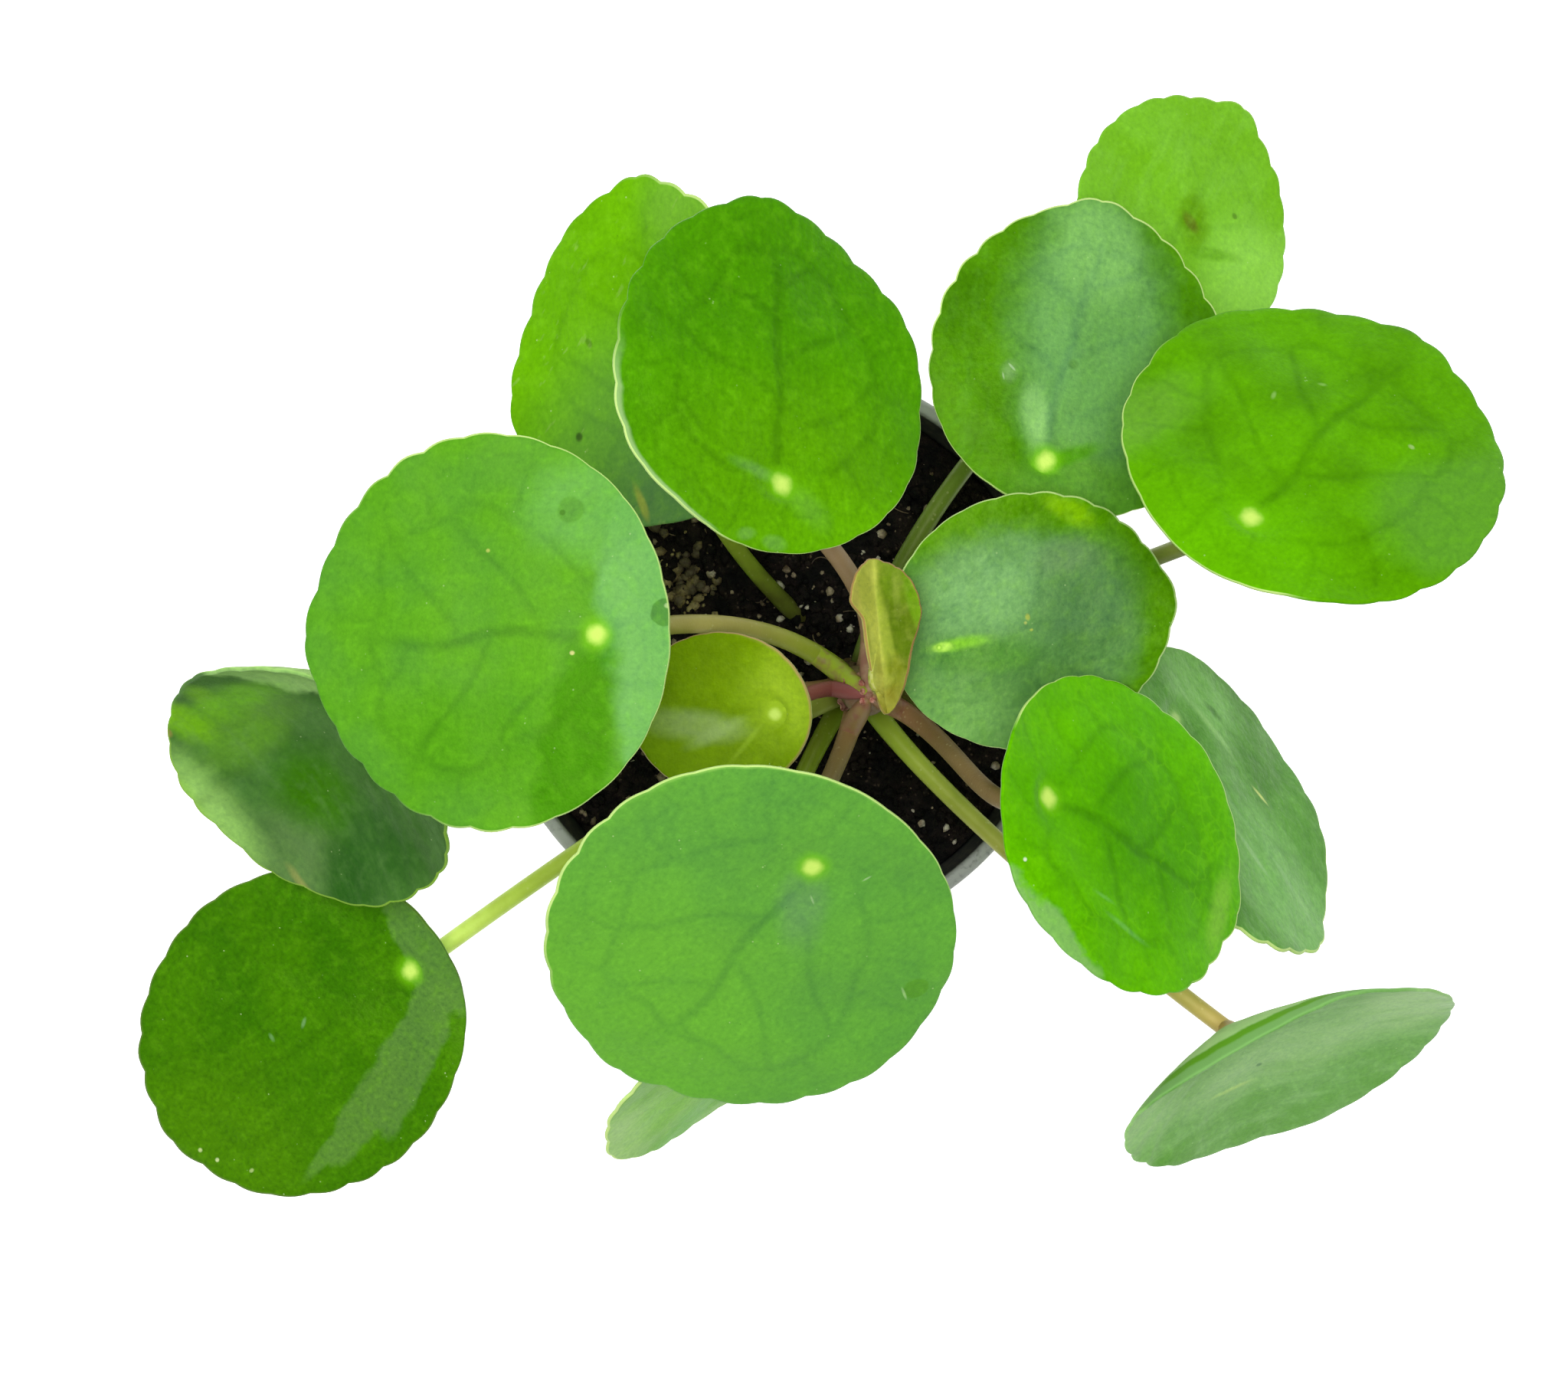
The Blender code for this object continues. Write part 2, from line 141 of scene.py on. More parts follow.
def connect(tree, node, **inputs):
    """Feeds sockets by name, such as Base_Color, or by number, such as _0."""
    for name, value in inputs.items():
        socket = int(name[1:]) if name[1:].isdigit() else name.replace("_", " ")
        feed(tree, node.inputs[socket], value)


def add_node(tree, kind, settings=None, output=0, **inputs):
    """Adds any node: its settings first, then the values or links of its sockets."""
    made = tree.nodes.new(kind)
    for name, value in (settings or {}).items():
        setattr(made, name, value)
    connect(tree, made, **inputs)
    return Wire(tree, made.outputs[output])


print("arithmetic on sockets is ready")


# %% Functions that work on wires and on arrays alike
def sine(x):
    return x.math("SINE") if isinstance(x, Wire) else np.sin(x)


def root(x):
    return x.math("SQRT") if isinstance(x, Wire) else np.sqrt(x)


def angle_of(y, x):
    return y.math("ARCTAN2", x) if isinstance(y, Wire) else np.arctan2(y, x)


def wrapped(x):
    """The part of x behind the decimal point."""
    return x.math("FRACT") if isinstance(x, Wire) else x - np.floor(x)


def positive(x):
    """1 where x is above 0."""
    return x.math("GREATER_THAN", 0.0) if isinstance(x, Wire) else (x > 0).astype(float)


def larger(a, b):
    return a.math("MAXIMUM", b) if isinstance(a, Wire) else np.maximum(a, b)


def smaller(a, b):
    return a.math("MINIMUM", b) if isinstance(a, Wire) else np.minimum(a, b)


def slope(x, low, high):
    """A smooth step from 0 at low to 1 at high. Low may also lie above high."""
    t = smaller(larger((x - low) / (high - low), 0.0), 1.0)
    return t * t * (3.0 - t * 2.0)


print("a slope from 0 to 1, at a quarter of the way:", float(slope(np.array(0.25), 0.0, 1.0)))


# %% Mixing, finishes and patterns
def blend(tree, share, first, second, mode="MIX"):
    """Mixes two colours, which are inputs 6 and 7 and output 2 of the Mix node, counted from 0."""
    return add_node(tree, "ShaderNodeMix", {"data_type": "RGBA", "blend_type": mode}, 2,
                    _0=share, _6=first, _7=second)


def new_finish(name, **constants):
    """A material with a Principled shader whose constant sockets are set by name."""
    finish = bpy.data.materials.new(name)
    finish.use_nodes = True
    shader = finish.node_tree.nodes["Principled BSDF"]
    connect(finish.node_tree, shader, **constants)
    return finish, finish.node_tree, shader


def bump(tree, height, strength, distance):
    """A Bump node over a height wire. The distance is in metres."""
    return add_node(tree, "ShaderNodeBump", Strength=strength, Distance=distance, Height=height)


def object_place(tree):
    """Places on a piece in metres, from its own origin."""
    return add_node(tree, "ShaderNodeTexCoord", output=3)


def attribute(tree, name, output):
    """What the mesh carries under a name: output 1 is a vector, output 2 a number."""
    return add_node(tree, "ShaderNodeAttribute", {"attribute_name": name}, output)


def split(tree, vector):
    """The x, y and z of a vector as three wires."""
    x = add_node(tree, "ShaderNodeSeparateXYZ", Vector=vector)
    return [Wire(tree, socket) for socket in x.socket.node.outputs]


def noise(tree, place, scale, detail, **others):
    """Cloudy noise from 0 to 1. The scale is in clouds to one unit of the place."""
    return add_node(tree, "ShaderNodeTexNoise", Vector=place, Scale=scale, Detail=detail, **others)


def cells(tree, place, scale, feature="F1"):
    """Distance from the middle of the nearest cell, or from its border."""
    return add_node(tree, "ShaderNodeTexVoronoi", {"feature": feature}, Vector=place, Scale=scale)


def added(tree, first, second):
    """The sum of two vectors."""
    return add_node(tree, "ShaderNodeVectorMath", {"operation": "ADD"}, _0=first, _1=second)


def stretched(tree, place, scale):
    """Places scaled along each axis, which draws a noise out into fibres or streaks."""
    return add_node(tree, "ShaderNodeMapping", Vector=place, Scale=scale)


def linear(red, green, blue):
    """A colour given in the usual 0 to 255 steps, as the light values a shader works with."""
    steps = (value / 255 for value in (red, green, blue))
    return tuple(((step + 0.055) / 1.055) ** 2.4 if step > 0.04045 else step / 12.92 for step in steps)


print("mid grey as light:", [round(value, 3) for value in linear(128, 128, 128)])

# %% [markdown]
# ## Floor and light
#
# The plant stands on a plain white floor under one wide soft light straight above it, like a catalogue
# picture. A leaf that lies nearly level mirrors that light and gets its grey-green sheen, while one that
# leans further mirrors the darker room and shows its saturated green. The steepest ones mirror the white
# floor and go pale again. One wide lamp, a white floor and a dim room give a part of all three for free, and
# the leaf's finish adds the rest as painted sheens.
#
# The floor also glows a little, so that the broad soft shadow of the leaves does not grey it.

# %% Floor, lamp and room
FLOOR_SIZE = 6.0  # metres
FLOOR_GLOW = 0.75
LAMP_PLACE = (-0.15, 0.15, 1.5)
LAMP_SIZE = 1.5
LAMP_POWER = 34.0
ROOM_LIGHT = 0.24

floor_bm = bmesh.new()
bmesh.ops.create_grid(floor_bm, x_segments=1, y_segments=1, size=FLOOR_SIZE / 2)
floor_mesh = bpy.data.meshes.new("floor")
floor_bm.to_mesh(floor_mesh)
floor_bm.free()
floor = bpy.data.objects.new("floor", floor_mesh)
bpy.context.scene.collection.objects.link(floor)
floor_finish, _, _ = new_finish("floor", Base_Color=(0.9, 0.9, 0.9), Roughness=0.9, Specular_IOR_Level=0.0,
                                Emission_Color=(1.0, 1.0, 1.0), Emission_Strength=FLOOR_GLOW)
floor_mesh.materials.append(floor_finish)

lamp_data = bpy.data.lights.new("softbox", "AREA")
lamp_data.shape = "DISK"
lamp_data.size = LAMP_SIZE
lamp_data.energy = LAMP_POWER
lamp = bpy.data.objects.new("softbox", lamp_data)
lamp.location = LAMP_PLACE
bpy.context.scene.collection.objects.link(lamp)

room = bpy.data.worlds.new("room")
room.use_nodes = True
connect(room.node_tree, room.node_tree.nodes["Background"], Color=(1.0, 1.0, 1.0), Strength=ROOM_LIGHT)
bpy.context.scene.world = room
bpy.context.scene.view_settings.view_transform = "Standard"
print("lamp", LAMP_SIZE, "m wide at", LAMP_PLACE[2], "m")

# %% [markdown]
# ## The leaves' measurements
#
# Each leaf has the same few numbers as in the CAD model: where the stalk meets the blade, where the midrib
# points, how the blade leans, and how long and wide it is. The rest says how it differs from a plain disc.
# They are in millimetres and degrees, as a grower would measure them.


# %% One leaf in numbers
@dataclass
class Leaf:
    """Form of a leaf: millimetres, and degrees."""

    name: str
    spot: tuple  # where the stalk meets the blade
    heading: float  # of the midrib, seen from above
    toward: float  # the side to which the upper face leans
    lean: float  # from level
    length: float
    width: float
    joins: float = 0.21  # share of the length that lies behind the spot
    aside: float = 0.0  # how far the blade's middle lies to the left of the midrib
    taper: float = 0.0  # narrower towards the tip
    dish: float = 0.0  # how far the margin stands up
    dome: float = 0.0  # how far the middle stands above the margin
    fold: float = 0.0  # how far both halves stand up from the midrib
    ripple: float = 0.8  # waves of the margin
    tip: float = 1.5  # how far the point sticks out
    scallop: float = 0.9  # depth of the bays in the margin
    stalk: float = 1.8  # radius
    node: float = 110.0  # height at which the stalk leaves the stem
    leaves: float = 0.0  # direction in which it leaves
    rise: float = 35.0  # how steeply it leaves
    reach_out: float = 0.35  # how far it runs on in that direction, as a share of its span
    reach_in: float = 0.3  # how far it comes up square to the blade, as a share of its span
    plumb: float = 0.0  # 1 where it comes up upright instead
    pinch: float = 0.0  # 1 for the leaf that is still folded
    soil_foot: tuple = ()  # foot and direction of a stalk that comes out of the soil
    soil_way: tuple = ()


# %% The sixteen leaves
LEAVES = [
    Leaf("leaf_01", (-20.5, 35.5, 136), 95, 184, 32, 67, 66, joins=0.16, aside=3.5, taper=0.22, stalk=1.7,
         reach_out=0.55, reach_in=0.1, soil_foot=(9.5, 3.0, 82.0), soil_way=(-0.62, 0.5, 0.62)),
    Leaf("leaf_02", (0.5, 30, 169), 94, 24, 31, 67, 64.5, joins=0.19, aside=0.3, taper=0.06, dome=1.2,
         node=120, leaves=80, reach_out=0.4, reach_in=0.1),
    Leaf("leaf_03", (-33, 2.7, 174), 181, 180, 13, 68.8, 72.8, joins=0.2, aside=-0.7, dome=1.6,
         node=115.5, leaves=140, reach_out=0.45),
    Leaf("leaf_04", (-84, -10, 138), 239, 239, 46, 59.4, 62, dish=9, aside=1.5, node=107, leaves=187),
    Leaf("leaf_05", (-75, -64.5, 108), 220, 215, 18, 77.5, 66, joins=0.13, aside=-4.8,
         node=112.5, leaves=199, reach_in=0.15),
    Leaf("leaf_06", (6, -40, 166), 226, 284, 31, 74.5, 79.5, joins=0.24, aside=2.5, dome=1.6,
         node=120, leaves=250),
    Leaf("leaf_07", (0.5, -70.5, 118), 221, 311, 67, 56, 54, node=103, leaves=235),
    Leaf("leaf_08", (-1, -12, 147), 182, 200, 12, 35, 31, aside=-0.6, dish=1.5, ripple=0.4, scallop=0.25,
         stalk=1.4, node=123, leaves=172),
    Leaf("leaf_09", (19.2, -6, 157), 95, 45, 10, 29, 15, taper=-0.2, fold=6.5, ripple=0.3, scallop=0.2,
         tip=0.6, stalk=1.3, node=125, leaves=60, rise=20, reach_out=0.5, pinch=1.0),
    Leaf("leaf_10", (30, 0.5, 151), 10, 340, 14, 56, 49, joins=0.17, aside=2, scallop=0.6,
         node=121, leaves=20),
    Leaf("leaf_11", (86, 24, 168), 42, 85, 35, 71.5, 72, joins=0.2, aside=1.4, dome=1.0, node=107, leaves=25,
         rise=0, reach_out=0.45, reach_in=0.42, plumb=1.0),
    Leaf("leaf_12", (51, 36.5, 140), 81, 60, 14, 64, 59, joins=0.16, aside=-4, taper=0.05, dome=1.0,
         node=115, leaves=55),
    Leaf("leaf_13", (74, 72, 116), 62, 25, 30, 61.5, 50, tip=3, node=109, leaves=80, reach_out=0.45),
    Leaf("leaf_14", (49, -27, 169), 326, 22, 44, 64.5, 60.5, joins=0.19, aside=3.5, dome=1.2,
         node=117, leaves=335),
    Leaf("leaf_15", (79, -13, 118), 303, 30, 55, 68, 60, node=102, leaves=348),
    Leaf("leaf_16", (90, -76.5, 118), 294, 294, 58, 54, 73, dish=7, aside=8.5,
         node=112, leaves=304, reach_in=0.1, plumb=1.0),
]
print(len(LEAVES), "leaves, the widest", max(leaf.width for leaf in LEAVES), "mm across")

# %% [markdown]
# ## The blade as a formula
#
# A Pilea blade is a round plate on a stalk that meets it from below, off the middle. It could be sculpted,
# but sixteen of them with matching veins are better pressed from one flat blank: every vertex of the blank
# has a turn, the direction in which it lies from the stalk, and a reach, which is 0 beside the stalk and 1
# at the margin. The functions below turn those two numbers into a place. They take whole numpy arrays,
# because a blade has thousands of vertices.

# %% Outline and height of the blade
SCALLOPS = 26
TIP_SPREAD = 0.22  # radians to each side
HUB_RADIUS = 2.4  # of the stalk where it meets the blade
DIMPLE, DIMPLE_REACH = 0.7, 0.14  # over the stalk
BLADE_MIDDLE, BLADE_EDGE = 1.3, 0.8  # thickness


def plane_axes(leaf):
    """Along the midrib, across it to the left, and out of the upper face."""
    lean, toward, heading = (math.radians(x) for x in (leaf.lean, leaf.toward, leaf.heading))
    normal = Vector((math.sin(lean) * math.cos(toward), math.sin(lean) * math.sin(toward), math.cos(lean)))
    along = Vector((math.cos(heading), math.sin(heading), 0.0))
    along.z = -(along.x * normal.x + along.y * normal.y) / normal.z
    along.normalize()
    return along, normal.cross(along), normal


def outline(leaf, turn):
    """The margin in the blade's plane, measured from the stalk's end."""
    from_tip = (turn + math.pi) % math.tau - math.pi
    tip = leaf.tip * np.exp(-((from_tip / TIP_SPREAD) ** 2))
    far = 0.5 + 0.5 * np.cos(turn)
    bay = 1.0 - abs(np.sin(SCALLOPS * turn / 2))
    phase = random.Random(leaf.name + " bays").uniform(0, math.tau)
    uneven = 0.66 + 0.2 * np.sin(3 * turn + phase) + 0.14 * np.sin(7 * turn + 2 * phase)
    cut = leaf.scallop * uneven * (0.25 + 0.75 * np.minimum(1.0, 1.6 * far)) * bay
    along = leaf.length * (0.5 - leaf.joins) + (leaf.length / 2 + tip - cut) * np.cos(turn)
    across = leaf.aside + (leaf.width / 2 - cut) * (1 - leaf.taper * np.cos(turn)) * np.sin(turn)
    return along, across


def flat_place(leaf, turn, reach, hub=1.0):
    """Along and across in the blade's plane. Hub runs from 0 to 1 over the stalk's own width."""
    edge_along, edge_across = outline(leaf, turn)
    along = hub * (1 - reach) * HUB_RADIUS * np.cos(turn) + reach * edge_along
    across = hub * (1 - reach) * HUB_RADIUS * np.sin(turn) + reach * edge_across
    return along, across


def pinched(leaf, along, across, reach):
    """Draws in both halves of a leaf that is still folded. Its left half stands up, so it looks narrower."""
    left = slope(along, 15.5, 11.5) * 0.36 + 0.27
    right = slope(along, 13.0, 4.0) * 0.26
    return across * (1 - leaf.pinch * slope(reach, 0.0, 0.3) * np.where(across > 0, left, right))


def blade_height(leaf, turn, reach, along, across):
    """How far the blade stands above its plane: dish, dome, fold, ripple and the dimple over the stalk."""
    start = 1 - 2 * leaf.joins
    u = along / (leaf.length / 2) - start
    v = (across - reach * leaf.aside) / (leaf.width / 2)
    draw = random.Random(leaf.name)
    waves, phase = draw.choice((3, 4, 5)), draw.uniform(0, math.tau)
    height = leaf.dish * reach ** 2 - leaf.dome * (u * u + v * v - start * start)
    height = height + leaf.fold * (np.sqrt(v * v + 0.02) - math.sqrt(0.02))
    height = height + leaf.ripple * reach ** 3 * np.sin(waves * turn + phase)
    return height - (0.0 if leaf.fold else DIMPLE) * np.exp(-((reach / DIMPLE_REACH) ** 2))


def blade_points(leaf, turn, reach, hub=1.0):
    """Places on the blade's middle surface, one row for each vertex."""
    along, across = flat_place(leaf, turn, reach, hub)
    across = pinched(leaf, along, across, reach)
    height = blade_height(leaf, turn, reach, along, across)
    axes = np.array(plane_axes(leaf))
    return np.array(leaf.spot) + np.stack([along, across, height], axis=-1) @ axes


def blade_normals(leaf, turn, reach):
    """The upper face's direction, from small steps outwards and round."""
    step = 0.01
    inner, outer = np.maximum(0.0, reach - step), np.minimum(1.0, reach + step)
    outward = blade_points(leaf, turn, outer) - blade_points(leaf, turn, inner)
    around = blade_points(leaf, turn + step, reach) - blade_points(leaf, turn - step, reach)
    normal = np.cross(outward, around)
    return normal / np.linalg.norm(normal, axis=-1, keepdims=True)


tip_of_first = blade_points(LEAVES[0], np.array([0.0]), np.array([1.0]))[0]
print("tip of leaf_01 at", [round(float(x), 1) for x in tip_of_first], "mm")

# %% [markdown]
# ## The veins as a formula
#
# On a Pilea the midrib runs from the pale spot to the tip. Two side veins leave the spot with it and swing
# round the middle of the blade, so that together they make a ring which passes through the spot. A few
# slanting links join the ring to the midrib, and outside it short veins run out towards the margin and meet
# in loops. All are soft, dark lines that seem to lie inside the leaf, with hardly any relief.
#
# Each set is written as a distance in millimetres from the nearest vein of that set. Working with distances
# keeps the lines equally wide everywhere. A slight sway bends the whole net, different on each leaf.

# %% Distance from the veins
RING_RADIUS = 0.64  # of the vein ring, in half blades
RING_GAP = (9.2, 6.5)  # the ring fades out behind the spot: squares of its turn there
LINKS = 2.2  # link veins to a half length of blade
OUTER_VEINS = 17  # round the ring


def ridge(phase, spacing):
    """Distance from the nearest whole number, turned into millimetres by the spacing between lines."""
    return abs(wrapped(phase + 0.5) - 0.5) * spacing


def line(distance, width):
    """A soft line: 1 on the vein, falling to 0 at the given width from it."""
    return slope(distance, width, 0.0)


def veins(leaf, along, across, reach):
    """Strength of the main veins and of the finer ones outside them."""
    half_length, half_width = leaf.length / 2, leaf.width / 2
    draw = random.Random(leaf.name + " veins")
    sway, shift = draw.uniform(0, 6.28), draw.uniform(0, 1)
    start = 1 - 2 * leaf.joins
    x = along / half_length
    y = (across - reach * leaf.aside) / half_width
    y = y + sine(x * 3.1 + sway) * x * 0.045 + sine(x * 9.0 + sway * 2.0) * 0.018
    x = x + sine(y * 6.0 + sway) * 0.035 + sine(y * 15.0 - sway) * 0.014
    side = abs(y)
    left = positive(y)
    from_middle = x - (start + 0.04)
    middle = root(from_middle * from_middle + y * y)
    turn = angle_of(y, from_middle)
    ring_at = RING_RADIUS + sine(turn * 3.0 - sway) * 0.03 + sine(turn * 8.0 + sway) * 0.016
    ring = line(abs(middle - ring_at) * half_width, 1.6) * slope(turn * turn, *RING_GAP)
    midrib = line(side * half_width, 1.9) * slope(x, 0.02, 0.12) * slope(x, start + 1.0, start + 0.3)
    inside = slope(middle - ring_at, 0.02, -0.03)
    phase = (x - side * 0.5 - side * side * 0.35) * LINKS + left * 0.4 + shift
    links = line(ridge(phase, half_length / LINKS * 0.8), 1.5) * inside * slope(x, 0.2, 0.4)
    outside = slope(middle - ring_at, 0.0, 0.04) * slope(reach, 0.95, 0.8)
    phase = turn * (OUTER_VEINS / math.tau) + sine(middle * 9.0 + sway + turn * 2.0) * 0.1 + shift
    outer = line(ridge(phase, middle * half_width * (math.tau / OUTER_VEINS)), 1.3) * outside
    loop_at = abs(sine(phase * math.pi)) * 0.05 + 0.83
    loops = line(abs(middle - loop_at) * half_width, 1.1) * slope(reach, 0.98, 0.9)
    strong = larger(midrib * 0.85, larger(ring * 0.45, links * 0.5))
    fine = larger(outer * 0.45, loops * 0.3)
    return strong, fine


sample = veins(LEAVES[2], np.array([10.0, 20.0]), np.array([0.0, 9.0]), np.array([0.3, 0.6]))
print("veins at two points of leaf_03:", [np.round(part, 2).tolist() for part in sample])

# %% [markdown]
# ## The flat blank
#
# The blank starts as a small circle, the size of the stalk. Each ring is the last one's edges extruded and
# scaled outwards. Where the ring has grown so far that its steps would become coarse, a circle with twice
# the points follows, and the band between the two is filled with triangles. Extruding the finished disc
# gives the second face and the wall between them, and cutting that wall into four gives a rounded margin.
#
# One blank serves all the leaves, so it is made once and copied.

# %% Make the blank
BLANK_HUB = 0.06  # radius of the small circle, where the whole blank has 1
HUB_SIDES = 26
BANDS = ((0.07, 52), (0.20, 104), (0.46, 208), (1.0, 208))  # reach at the end of a band, points round
STEP = 0.033  # of reach, from ring to ring


def ring_edges(verts):
    """The edges that join the given points."""
    return list({edge for vert in verts for edge in vert.link_edges if edge.other_vert(vert) in verts})


def make_blank():
    """A disc of radius 1 with an upper face at height 1, a lower one at 0 and a wall of four bands."""
    bm = bmesh.new()
    ring = set(bmesh.ops.create_circle(bm, cap_ends=True, segments=HUB_SIDES, radius=BLANK_HUB)["verts"])
    radius, count, reach = BLANK_HUB, HUB_SIDES, 0.0
    for end, points in BANDS:
        if points != count:
            reach += min(STEP, 0.9 * math.tau * (reach + 0.05) / points * 1.2)
            radius = BLANK_HUB + (1 - BLANK_HUB) * reach
            wider = set(bmesh.ops.create_circle(bm, segments=points, radius=radius)["verts"])
            bmesh.ops.triangle_fill(bm, use_beauty=True, normal=(0, 0, 1),
                                    edges=ring_edges(ring) + ring_edges(wider))
            ring, count = wider, points
        steps = max(1, round((end - reach) / STEP))
        for _ in range(steps):
            next_reach = reach + (end - reach) / steps
            steps -= 1
            next_radius = BLANK_HUB + (1 - BLANK_HUB) * next_reach
            made = bmesh.ops.extrude_edge_only(bm, edges=ring_edges(ring))["geom"]
            ring = {item for item in made if isinstance(item, bmesh.types.BMVert)}
            bmesh.ops.scale(bm, vec=(next_radius / radius, next_radius / radius, 1.0), verts=list(ring))
            radius, reach = next_radius, next_reach
    top = bmesh.ops.extrude_face_region(bm, geom=bm.faces[:])["geom"]
    for vert in (item for item in top if isinstance(item, bmesh.types.BMVert)):
        vert.co.z = 1.0
    wall = [edge for edge in bm.edges if edge.verts[0].co.z != edge.verts[1].co.z]
    bmesh.ops.subdivide_edges(bm, edges=wall, cuts=3)
    bmesh.ops.recalc_face_normals(bm, faces=bm.faces)
    return bm


blank_bm = make_blank()
blank = bpy.data.meshes.new("leaf_blank")
blank_bm.to_mesh(blank)
open_edges = sum(len(edge.link_faces) != 2 for edge in blank_bm.edges)
blank_bm.free()
print("blank:", len(blank.vertices), "points,", len(blank.polygons), "faces,", open_edges, "open edges")

# %% [markdown]
# ## Stem and stalks as paths
#
# A stalk is a round tube along one smooth curve. It leaves the stem on its way out, and comes up square
# under the blade. The curve is a Bezier with four control points: blade, below the blade, out from the stem,
# stem. The same path and thickness as in the CAD model keep the finer tube inside its coarse one.

# %% Paths of the stem and the stalks
STEM_FOOT = Vector((12.5, -3.6, 66.0))
STEM_CROWN = Vector((17.0, -8.2, 127.0))
STEM_AXIS = (STEM_CROWN - STEM_FOOT).normalized()
STEM_SCARS = 9
STEM_RADIUS, STEM_TAPER, SCAR_HEIGHT = 4.66, 0.53, 0.35
GAP = 0.3  # between the pieces of the CAD model
STALK_RINGS = 44
STALK_FLARE = 0.25  # thicker at the foot, as a share of the radius


def frame_at(centre, along, sideways):
    """A matrix whose Z axis runs along a tube and whose X axis stays near the given direction."""
    z_axis = along.normalized()
    x_axis = (sideways - sideways.dot(z_axis) * z_axis).normalized()
    turn = Matrix((x_axis, z_axis.cross(x_axis), z_axis)).transposed().to_4x4()
    return Matrix.Translation(centre) @ turn


def bezier(control, share):
    """Point and direction at a share of the way along a curve with four control points."""
    rest = 1 - share
    weights = (rest ** 3, 3 * share * rest ** 2, 3 * share ** 2 * rest, share ** 3)
    point = sum((weight * place for weight, place in zip(weights, control)), Vector())
    slopes = (rest ** 2, 2 * share * rest, share ** 2)
    along = sum((weight * (b - a) for weight, a, b in zip(slopes, control, control[1:])), Vector())
    return point, along.normalized()


def extrude_along(bm, face, frames, radii):
    """Extrudes a round face along a row of frames, wider or narrower by its radii."""
    for start, end, from_radius, to_radius in zip(frames, frames[1:], radii, radii[1:]):
        face = bmesh.ops.extrude_discrete_faces(bm, faces=[face])["faces"][0]
        grow = Matrix.Diagonal((to_radius / from_radius, to_radius / from_radius, 1.0, 1.0))
        bmesh.ops.transform(bm, matrix=end @ grow @ start.inverted(), verts=face.verts)


def stem_point(height):
    return STEM_FOOT.lerp(STEM_CROWN, (height - STEM_FOOT.z) / (STEM_CROWN.z - STEM_FOOT.z))


def stem_radius(height):
    share = (height - STEM_FOOT.z) / (STEM_CROWN.z - STEM_FOOT.z)
    ring = 0.5 + 0.5 * math.cos(math.tau * STEM_SCARS * share)
    return STEM_RADIUS - STEM_TAPER * share + SCAR_HEIGHT * ring ** 3


def stalk_foot(leaf):
    """Where the stalk starts, what its foot faces, and the direction in which it grows."""
    if leaf.soil_foot:
        way = Vector(leaf.soil_way).normalized()
        return Vector(leaf.soil_foot), way, way
    out = Vector((math.cos(math.radians(leaf.leaves)), math.sin(math.radians(leaf.leaves)), 0.0))
    out = (out - out.dot(STEM_AXIS) * STEM_AXIS).normalized()
    rise = math.radians(leaf.rise)
    thickest = max(stem_radius(leaf.node + step * leaf.stalk) for step in (-1, -0.5, 0, 0.5, 1))
    way = out * math.cos(rise) + STEM_AXIS * math.sin(rise)
    return stem_point(leaf.node) + out * (thickest + GAP), out, way


def stalk_path(leaf):
    """Frames, radii and shares from the blade down to the stalk's foot."""
    quarters = np.arange(4) * math.pi / 2
    centre = Vector(blade_points(leaf, quarters, np.zeros(4)).mean(axis=0))
    normal = Vector(blade_normals(leaf, quarters, np.zeros(4)).mean(axis=0)).normalized()
    head = centre - normal * BLADE_MIDDLE / 2
    foot, face, way = stalk_foot(leaf)
    span = (head - foot).length
    down = (-normal).lerp(Vector((0, 0, -1)), leaf.plumb)
    control = (head, head + down * span * leaf.reach_in, foot + way * span * leaf.reach_out, foot)
    frames, radii, shares = [frame_at(head, -normal, plane_axes(leaf)[0])], [HUB_RADIUS], [0.0]
    for ring in range(1, STALK_RINGS + 1):
        share = (ring / STALK_RINGS) ** 1.15
        point, along = bezier(control, share)
        along = along.lerp(-face, max(0.0, (share - 0.93) / 0.07))
        frames.append(frame_at(point, along, frames[-1].col[0].xyz))
        widening = (HUB_RADIUS - leaf.stalk) * math.exp(-share * span / 1.6)
        radii.append(leaf.stalk * (1 + STALK_FLARE * share ** 6) + widening)
        shares.append(share)
    return frames, radii, shares


print("longest stalk:", max(round((Vector(leaf.spot) - stalk_foot(leaf)[0]).length) for leaf in LEAVES), "mm")

# %% [markdown]
# ## Press the blank into a leaf
#
# Each vertex of the blank goes to its place on the blade's middle surface, then half a thickness up or down
# along the normal. The upper face sinks a little along the veins and swells between them, and the same
# veins stand out below, as on the plant. Then the small circle in the middle of the underside is extruded
# down the stalk's path.
#
# Three attributes go with the mesh, since the finishes need to know where they are: the place on the blade,
# which face a point belongs to, and how far down the stalk it lies.

# %% Press a blade and draw its stalk
EDGE_ROUND = 0.4
GROOVE = 0.06  # depth of the veins
WAVES = ((26.0, 0.24), (15.0, 0.10), (8.0, 0.04))  # wavelength and height of the quilting
RELIEF = {"leaf_10": 1.8, "leaf_12": 1.3, "leaf_04": 1.4}  # the most uneven blades


def relief(leaf, turn, reach, along, across):
    """How far the upper face stands above its plain form, in millimetres."""
    strong, fine = veins(leaf, along, across, reach)
    draw = random.Random(leaf.name + " waves")
    waves = np.zeros_like(along)
    for wavelength, height in WAVES:
        for _ in range(3):
            way, phase = draw.uniform(0, math.tau), draw.uniform(0, math.tau)
            run = along * math.cos(way) + across * math.sin(way)
            waves += height / 1.7 * np.sin(run * math.tau / wavelength + phase)
    calm = np.clip(reach * 5, 0, 1) * min(1.0, leaf.length / 50)
    return (waves * RELIEF.get(leaf.name, 1.0) - GROOVE * strong - GROOVE * 0.6 * fine) * calm


